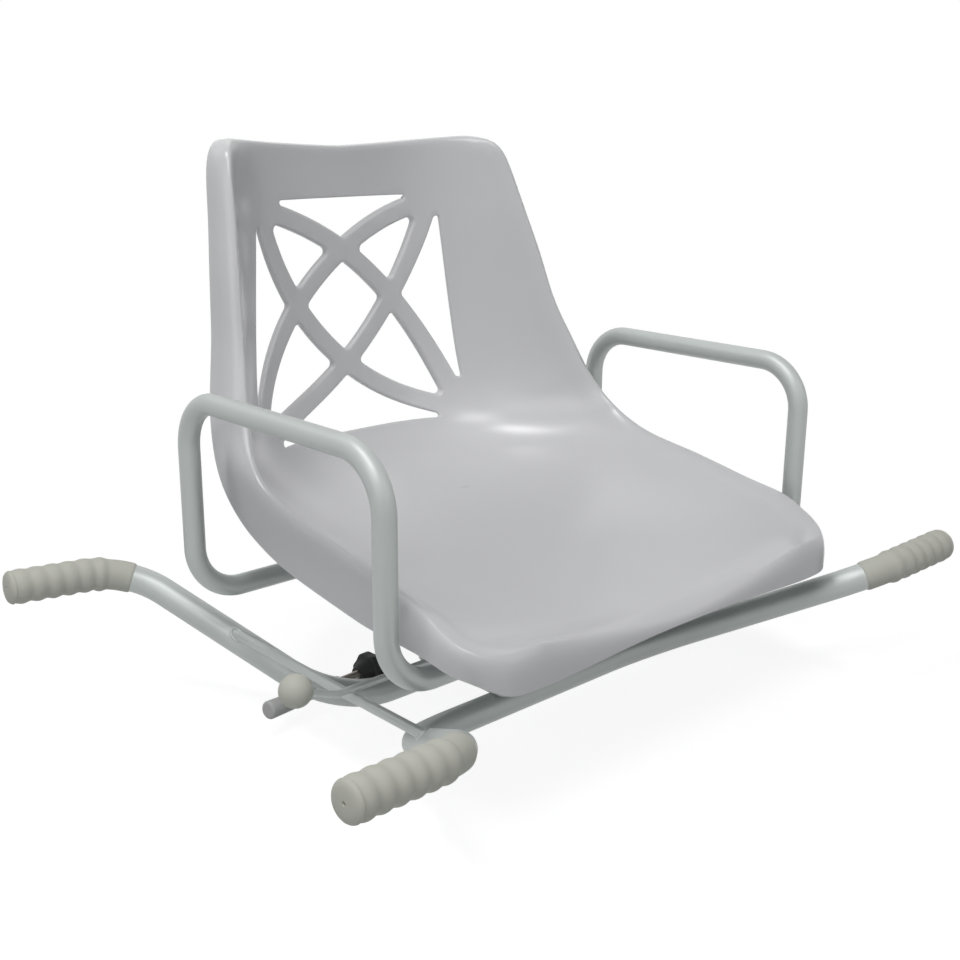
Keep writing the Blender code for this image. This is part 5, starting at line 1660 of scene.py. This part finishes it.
def ringed_solid(name: str, rings: list[list[Vector]]) -> Solid:
    """A closed solid through rings of points.

    Args:
        name: The object's name.
        rings: The rings in order, all equally long.

    Returns:
        The solid, its two ends filled.
    """
    cage = bmesh.new()
    loops = [[cage.verts.new(point) for point in ring] for ring in rings]
    join_rows(cage, loops, closed=True)
    bmesh.ops.triangulate(cage, faces=[cage.faces.new(loops[0]), cage.faces.new(loops[-1])])
    bmesh.ops.recalc_face_normals(cage, faces=cage.faces)
    return finish_cage(cage, name)


def search_tree(places: Sequence[Vector]) -> KDTree:
    """A search tree over places.

    Args:
        places: The places.

    Returns:
        The tree, each place under its number.
    """
    tree = KDTree(len(places))
    for index, place in enumerate(places):
        tree.insert(place, index)
    tree.balance()
    return tree


@dataclass
class MouldedShell:
    """The moulded seat: a dish with a rolled flange, the lattice back and the bosses under the pan."""

    window: BackWindow = field(default_factory=BackWindow)
    half_width: float = 0.2240
    front_y: float = -0.2130
    back_y: float = 0.2310
    pan_z: float = 0.1417
    top_z: float = 0.4937
    wall: float = 0.0038
    rows: int = 64
    columns: int = 40
    pan_row: int = 20
    crowding: float = 0.35
    flange_steps: tuple[float, ...] = (0.05, 0.12, 0.20, 0.30, 0.42, 0.56, 0.72, 0.88, 1.0)
    roll_power: int = 3
    drop_power: float = 1.4
    side_roll: Pair = (0.024, 0.0085)
    front_roll: Pair = (0.034, 0.0100)
    top_roll: Pair = (0.012, 0.0040)
    front_share: float = 0.14
    roll_kept: float = 0.85
    roll_spread: float = 2.4
    crest_steps: tuple[int, int] = (240, 100)
    bar_rounding: float = 0.0034
    wall_rounding: float = 0.0017
    flare_angles: tuple[float, ...] = (0.0, 22.0, 44.0, 62.0, 76.0)
    cutter_ends: Pair = (0.0003, 0.008)
    block_cells: tuple[int, int] = (48, 40)
    block_skin: float = 0.0012
    block_lap: float = 0.0040
    block_trim: float = 0.0005
    block_reach: Pair = (0.12, 0.34)
    boss_radius: float = 0.011
    boss_depths: Pair = (0.006, 0.020)
    hole_radius: float = 0.0033
    hole_floor: float = 0.0020
    arm_diameter: float = 0.0183
    above: float = 0.30
    behind: float = 0.6
    face: BVHTree | None = None

    def surface_point(self, at: float, across: float) -> Vector:
        """A point of the shell's top face.

        Args:
            at: 0 at the front edge, 1 at the top.
            across: -1 at the left edge, 1 at the right.

        Returns:
            The point.
        """
        centre_y, centre_z = smooth_value(CENTRE_KEYS, at)
        width, crest_y, crest_z = smooth_value(CREST_KEYS, at)
        power_y, power_z = smooth_value(CURVE_KEYS, at)
        reach = abs(across)
        y = centre_y + (crest_y - centre_y) * reach**power_y
        z = centre_z + (crest_z - centre_z) * reach**power_z
        return Vector((
            across * width * self.half_width,
            self.front_y + y * (self.back_y - self.front_y),
            self.pan_z + z * (self.top_z - self.pan_z),
        ))

    def flange_point(self, crest: Vector, at: float, step: float, edge_z: float) -> Vector:
        """A point of the flange below or behind a point of the crest.

        Args:
            crest: The point of the crest.
            at: 0 at the front edge, 1 at the top.
            step: 0 at the crest, 1 at the flange's edge.
            edge_z: Height of the flange's edge at the front.

        Returns:
            The point.
        """
        values = [value * 0.01 for value in smooth_value(FLANGE_KEYS, at)]
        roll, drop = Vector(values[:3]), Vector(values[3:])
        if at == 0.0:
            drop = Vector((0, 0, edge_z - crest.z))
        offset = roll * (1 - (1 - step) ** self.roll_power) + drop * step**self.drop_power
        return Vector((crest.x + math.copysign(offset.x, crest.x), crest.y + offset.y, crest.z + offset.z))

    def sheet(self) -> Solid:
        """The shell's visible face as an open, finely lofted sheet."""
        cage = bmesh.new()
        grid = []
        for row in range(self.rows + 1):
            at = row / self.rows
            line = []
            for column in range(self.columns + 1):
                across = 2 * column / self.columns - 1
                across += self.crowding * (math.sin(across * math.pi / 2) - across)
                line.append((cage.verts.new(self.surface_point(at, across)), at))
            grid.append(line)
        join_rows(cage, [[vert for vert, _ in line] for line in grid], closed=False)
        rim = border(grid)
        edge_z = self.surface_point(0.0, 1.0).z + smooth_value(FLANGE_KEYS, 0.0)[5] * 0.01
        loops = [[vert for vert, _ in rim]]
        for step in self.flange_steps:
            loops.append([cage.verts.new(self.flange_point(vert.co, at, step, edge_z)) for vert, at in rim])
        for inner, outer in zip(loops, loops[1:]):
            for i in range(len(inner)):
                j = (i + 1) % len(inner)
                cage.faces.new((inner[j], inner[i], outer[i], outer[j]))
        bmesh.ops.recalc_face_normals(cage, faces=cage.faces)
        cage.faces.ensure_lookup_table()
        if cage.faces[self.columns * self.pan_row + self.columns // 2].normal.z < 0:
            bmesh.ops.reverse_faces(cage, faces=cage.faces)
        shell = finish_cage(cage, "moulded_shell")
        modify(shell, "SUBSURF", levels=1, render_levels=1)
        self.round_rim(shell)
        return shell

    def rim_points(self) -> list[tuple[Vector, float, float]]:
        """The crest of the rim: places, how far the rounding reaches there and how soft it is."""
        points = []
        along, over = self.crest_steps
        for i in range(along + 1):
            at = i / along
            front = max(0.0, 1 - at / self.front_share)
            roll = [side + (ahead - side) * front for side, ahead in zip(self.side_roll, self.front_roll)]
            points += [(self.surface_point(at, across), *roll) for across in (-1.0, 1.0)]
        for i in range(1, over):
            across = 2 * i / over - 1
            points.append((self.surface_point(0.0, across), *self.front_roll))
            points.append((self.surface_point(1.0, across), *self.top_roll))
        return points

    def round_rim(self, shell: Solid) -> None:
        """Turn the crest of the rim into a broad round roll that keeps its height.

        Args:
            shell: The open sheet.
        """
        mesh = shell.data
        share = [0.0] * len(mesh.vertices)
        for face in mesh.polygons:
            for index in face.vertices:
                share[index] += face.area / len(face.vertices)
        places = [vertex.co.copy() for vertex in mesh.vertices]
        near = search_tree(places)

        def softened(place: Vector, soft: float) -> Vector:
            """The area-weighted mean of the sheet round a place."""
            total, weight = Vector(), 0.0
            for other, index, distance in near.find_range(place, self.roll_spread * soft):
                part = share[index] * math.exp(-0.5 * (distance / soft) ** 2)
                total += other * part
                weight += part
            return total / weight

        rim = self.rim_points()
        crest = search_tree([place for place, _, _ in rim])
        sunk = [softened(place, soft) - place for place, _, soft in rim]
        for vertex, place in zip(mesh.vertices, places):
            _, index, distance = crest.find(place)
            _, reach, soft = rim[index]
            if distance < reach:
                run = 1 - distance / reach
                weight = run * run * (3 - 2 * run)
                vertex.co = place + (softened(place, soft) - place - sunk[index] * self.roll_kept) * weight
        mesh.update()

    def build(self) -> None:
        """Model and dress the shell."""
        shell = self.sheet()
        corners = [vertex.co for vertex in shell.data.vertices]
        self.face = BVHTree.FromPolygons(corners, [list(face.vertices) for face in shell.data.polygons])
        modify(shell, "SOLIDIFY", thickness=self.wall, offset=-1, use_even_offset=False)
        for y, depth in zip(ARM_Y.values(), self.boss_depths):
            for side in Side:
                self.add_boss(shell, side, y, depth)
        work_in(shell, self.block(), Merge.JOIN, "MANIFOLD")
        outer, inner = self.window.openings()
        for near, edges in outer + inner:
            work_in(shell, self.cutter(self.window.outline(edges, near)), Merge.CUT, "MANIFOLD")
        dress(shell, SHELL_PLASTIC, "seat", "seat_shell", sharp=32)

    def add_boss(self, shell: Solid, side: Side, y: float, depth: float) -> None:
        """Join one screw boss to the pan's underside and drill it.

        Args:
            shell: The shell.
            side: The side that the screw lies on.
            y: The screw's place along the seat.
            depth: Depth of the screw's hole.
        """
        x = side.value * SCREW_X
        pan = self.face.ray_cast(Vector((x, y, self.above)), -UP)[0].z
        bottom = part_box(f"{side.word}_armrest")[0][2] + self.arm_diameter + LOOSE
        height, radius = pan - self.wall / 2 - bottom, self.boss_radius
        profile = [
            (0.0, 0.0), (radius - 0.0021, 0.0), (radius - 0.0015, 0.0006), (radius, height - 0.002),
            (radius, height), (0.0, height),
        ]
        work_in(shell, turned("boss", profile, (x, y, bottom), UP, 40), Merge.JOIN, "MANIFOLD")
        hole = min(bottom + depth + LOOSE, pan - self.hole_floor) - bottom
        drill = round_bar("boss_hole", self.hole_radius, hole + 0.004, (x, y, bottom - 0.004), UP, steps=24)
        work_in(shell, drill, Merge.CUT, "MANIFOLD")

    def face_y(self, x: float, z: float) -> float:
        """Where the front face of the back lies."""
        return self.face.ray_cast(Vector((x, self.behind, z)), Vector((0, -1, 0)))[0].y

    def block(self) -> Solid:
        """The depth of the bars behind the wall: a block bent to the back, cut into bars."""
        across, up = self.block_cells
        window, lap = self.window, self.block_lap
        high = window.top - window.bottom
        cage = bmesh.new()
        layers = []
        for depth in (self.block_skin, window.bar_depth):
            rows = []
            for row in range(up + 1):
                z = window.bottom - lap + (high + 2 * lap) * row / up
                share = (z - window.bottom) / high
                half = window.bottom_half + (window.top_half - window.bottom_half) * share + lap
                xs = [half * (2 * column / across - 1) for column in range(across + 1)]
                rows.append([cage.verts.new((x, self.face_y(x, z) + depth, z)) for x in xs])
            layers.append(rows)
        for rows in layers:
            join_rows(cage, rows, closed=False)
        join_rows(cage, [border(rows) for rows in layers], closed=True)
        bmesh.ops.recalc_face_normals(cage, faces=cage.faces)
        block = finish_cage(cage, "bars")
        outer, _ = window.openings(self.block_trim, 3 * lap)
        for near, edges in outer:
            outline = window.outline(edges, near)
            rings = [[Vector((p.place.x, y, p.place.y)) for p in outline] for y in self.block_reach]
            work_in(block, ringed_solid("opening", rings), Merge.CUT, "MANIFOLD")
        return block

    def cutter(self, rim: list[RimPoint]) -> Solid:
        """A cutter whose two ends flare, so that the opening's edges come out rounded.

        Args:
            rim: The opening's outline.

        Returns:
            The cutter.
        """
        clear, reach = self.cutter_ends
        widest = self.flare_angles[-1]

        def ring(front: bool, angle: float, beyond: float) -> list[Vector]:
            """One ring of the cutter, on its front or its back flare, or beyond the face."""
            points = []
            turn = math.radians(angle)
            for p in rim:
                rounding = self.bar_rounding if p.deep else self.wall_rounding
                depth = self.window.bar_depth if p.deep else self.wall
                spread = rounding * (1 - math.cos(turn))
                sink = rounding * (1 - math.sin(turn))
                if beyond:
                    spread += (sink + clear) * math.tan(turn)
                    sink = -beyond
                place = p.place + p.out * spread
                face = self.face_y(place.x, place.y)
                points.append(Vector((place.x, face + (sink if front else depth - sink), place.y)))
            return points

        flare = [(angle, 0.0) for angle in self.flare_angles] + [(widest, clear), (widest, reach)]
        rings = [ring(True, *step) for step in reversed(flare)] + [ring(False, *step) for step in flare]
        return ringed_solid("opening", rings)


# Studio


def bearing(azimuth: float, elevation: float) -> Vector:
    """The direction at an angle from the front and a height, both in degrees."""
    a, e = math.radians(azimuth), math.radians(elevation)
    return Vector((math.sin(a) * math.cos(e), -math.cos(a) * math.cos(e), math.sin(e)))


def seen_rays(tree: NodeTree) -> Socket:
    """The rays that meet the plain white background.

    Args:
        tree: The node tree.

    Returns:
        One for such a ray, zero for the rays that light the chair.
    """
    path = add_node(tree, "LightPath")
    seen = path.outputs["Is Camera Ray"]
    for ray in ("Is Glossy Ray", "Is Transmission Ray"):
        seen = add_node(tree, "Math", {0: seen, 1: path.outputs[ray]}, operation="MAXIMUM").outputs[0]
    return seen


def mix(share: Socket, first: Socket, second: Socket) -> Socket:
    """A mix of two shaders."""
    return add_node(share.id_data, "MixShader", {0: share, 1: first, 2: second}).outputs[0]


def glow(tree: NodeTree, strength: float) -> Socket:
    """A white that shines by itself."""
    return add_node(tree, "Emission", {"Color": (1.0, 1.0, 1.0), "Strength": strength}).outputs[0]


@dataclass(frozen=True)
class Lamp:
    """A soft square lamp: its angle from the front and its height in degrees, its side and its power."""

    name: str
    azimuth: float
    elevation: float
    size: float
    power: float


@dataclass
class Studio:
    """The pale floor, the soft lights and the camera at the photograph's place."""

    azimuth: float = -42.868
    elevation: float = 16.086
    roll: float = math.radians(0.352)
    eye: Spot = (-0.77530, -0.80703, 0.52756)
    focal_pixels: float = 1277.87
    frame_pixels: float = 960.0
    sensor: float = 36.0
    lamps: tuple[Lamp, ...] = (
        Lamp("overhead", -100.0, 73.0, 0.40, 12.5),
        Lamp("front_high", -43.0, 58.0, 0.9, 16.0),
        Lamp("left_low", -72.0, 32.0, 1.2, 7.5),
        Lamp("right_low", 20.0, 30.0, 1.2, 3.5),
        Lamp("rear_left", -150.0, 45.0, 1.2, 3.0),
        Lamp("rear_right", 140.0, 45.0, 1.2, 2.0),
    )
    lamp_distance: float = 2.6
    lamp_target: Spot = (0, 0, 0.25)
    world_colour: Colour = (0.93, 0.96, 1.0)
    world_strength: float = 0.08
    floor_size: float = 40.0
    floor_z: float = -0.0002
    floor_colour: Colour = (0.50, 0.51, 0.52)
    floor_roughness: float = 0.9
    floor_shade: Colour = (0.35, 0.35, 0.35)
    floor_glow: float = 0.87
    shadow_reach: Pair = (0.45, 0.95)

    def build(self) -> None:
        """Set the camera, the lights, the world and the floor."""
        self.set_camera()
        self.set_lights()
        self.set_world()
        self.set_floor()
        bpy.context.scene.view_settings.view_transform = "Standard"

    def set_camera(self) -> None:
        """Create the camera."""
        back = bearing(self.azimuth, self.elevation)
        level = bearing(self.azimuth + 90, 0.0)
        rise = bearing(self.azimuth, self.elevation + 90)
        right = level * math.cos(self.roll) + rise * math.sin(self.roll)
        up = rise * math.cos(self.roll) - level * math.sin(self.roll)
        bpy.ops.object.camera_add()
        camera = bpy.context.object
        turn = Matrix((right, up, back)).transposed().to_4x4()
        camera.matrix_world = Matrix.Translation(Vector(self.eye)) @ turn
        camera.data.sensor_width = self.sensor
        camera.data.lens = self.sensor * self.focal_pixels / self.frame_pixels
        bpy.context.scene.camera = camera

    def set_lights(self) -> None:
        """Hang the soft lamps round the chair, all turned to its middle."""
        middle = Vector(self.lamp_target)
        for lamp in self.lamps:
            spot = middle + bearing(lamp.azimuth, lamp.elevation) * self.lamp_distance
            turn = (middle - spot).to_track_quat("-Z", "Y").to_euler()
            bpy.ops.object.light_add(type="AREA", location=spot, rotation=turn)
            bpy.context.object.name = lamp.name
            adjust(bpy.context.object.data, {"size": lamp.size, "energy": lamp.power})

    def set_world(self) -> None:
        """Give the world a soft light, and white to the camera and to reflections."""
        world = bpy.data.worlds.new("studio")
        bpy.context.scene.world = world
        world.use_nodes = True
        tree = world.node_tree
        light = feed(tree.nodes["Background"], {"Color": self.world_colour, "Strength": self.world_strength})
        white = add_node(tree, "Background", {"Color": (1.0, 1.0, 1.0)})
        surface = mix(seen_rays(tree), light.outputs[0], white.outputs[0])
        feed(tree.nodes["World Output"], {"Surface": surface})

    def set_floor(self) -> None:
        """Lay the white floor: it keeps the chair's shadow near it and fades to plain white."""
        bpy.ops.mesh.primitive_plane_add(size=self.floor_size, location=(0, 0, self.floor_z))
        floor = bpy.context.object
        floor.name = "floor"
        paint = bpy.data.materials.new("floor_paint")
        paint.use_nodes = True
        tree = paint.node_tree
        bounce = {"Base Color": self.floor_colour, "Roughness": self.floor_roughness}
        board = feed(tree.nodes["Principled BSDF"], bounce)
        shade = add_node(tree, "BsdfDiffuse", {"Color": self.floor_shade})
        lit = add_node(tree, "AddShader", {0: shade.outputs[0], 1: glow(tree, self.floor_glow)})
        place = add_node(tree, "TexCoord").outputs["Object"]
        away = add_node(tree, "VectorMath", {0: place}, operation="LENGTH").outputs["Value"]
        seen = mix(ranged(away, self.shadow_reach, ease="SMOOTHSTEP"), lit.outputs[0], glow(tree, 1.0))
        surface = mix(seen_rays(tree), board.outputs[0], seen)
        feed(tree.nodes["Material Output"], {"Surface": surface})
        floor.data.materials.append(paint)


def main() -> None:
    """Build every sub-assembly in order."""
    logging.basicConfig(level=logging.INFO, format="%(name)s: %(message)s")
    tubes = TubeFrame()
    tubes.build()
    Pedestal(tubes).build()
    Swivel().build()
    LockingLever().build()
    for side in Side:
        Stabiliser(side).build()
    MouldedShell().build()
    clear_selection()
    Studio().build()


if __name__ == "__main__":
    main()
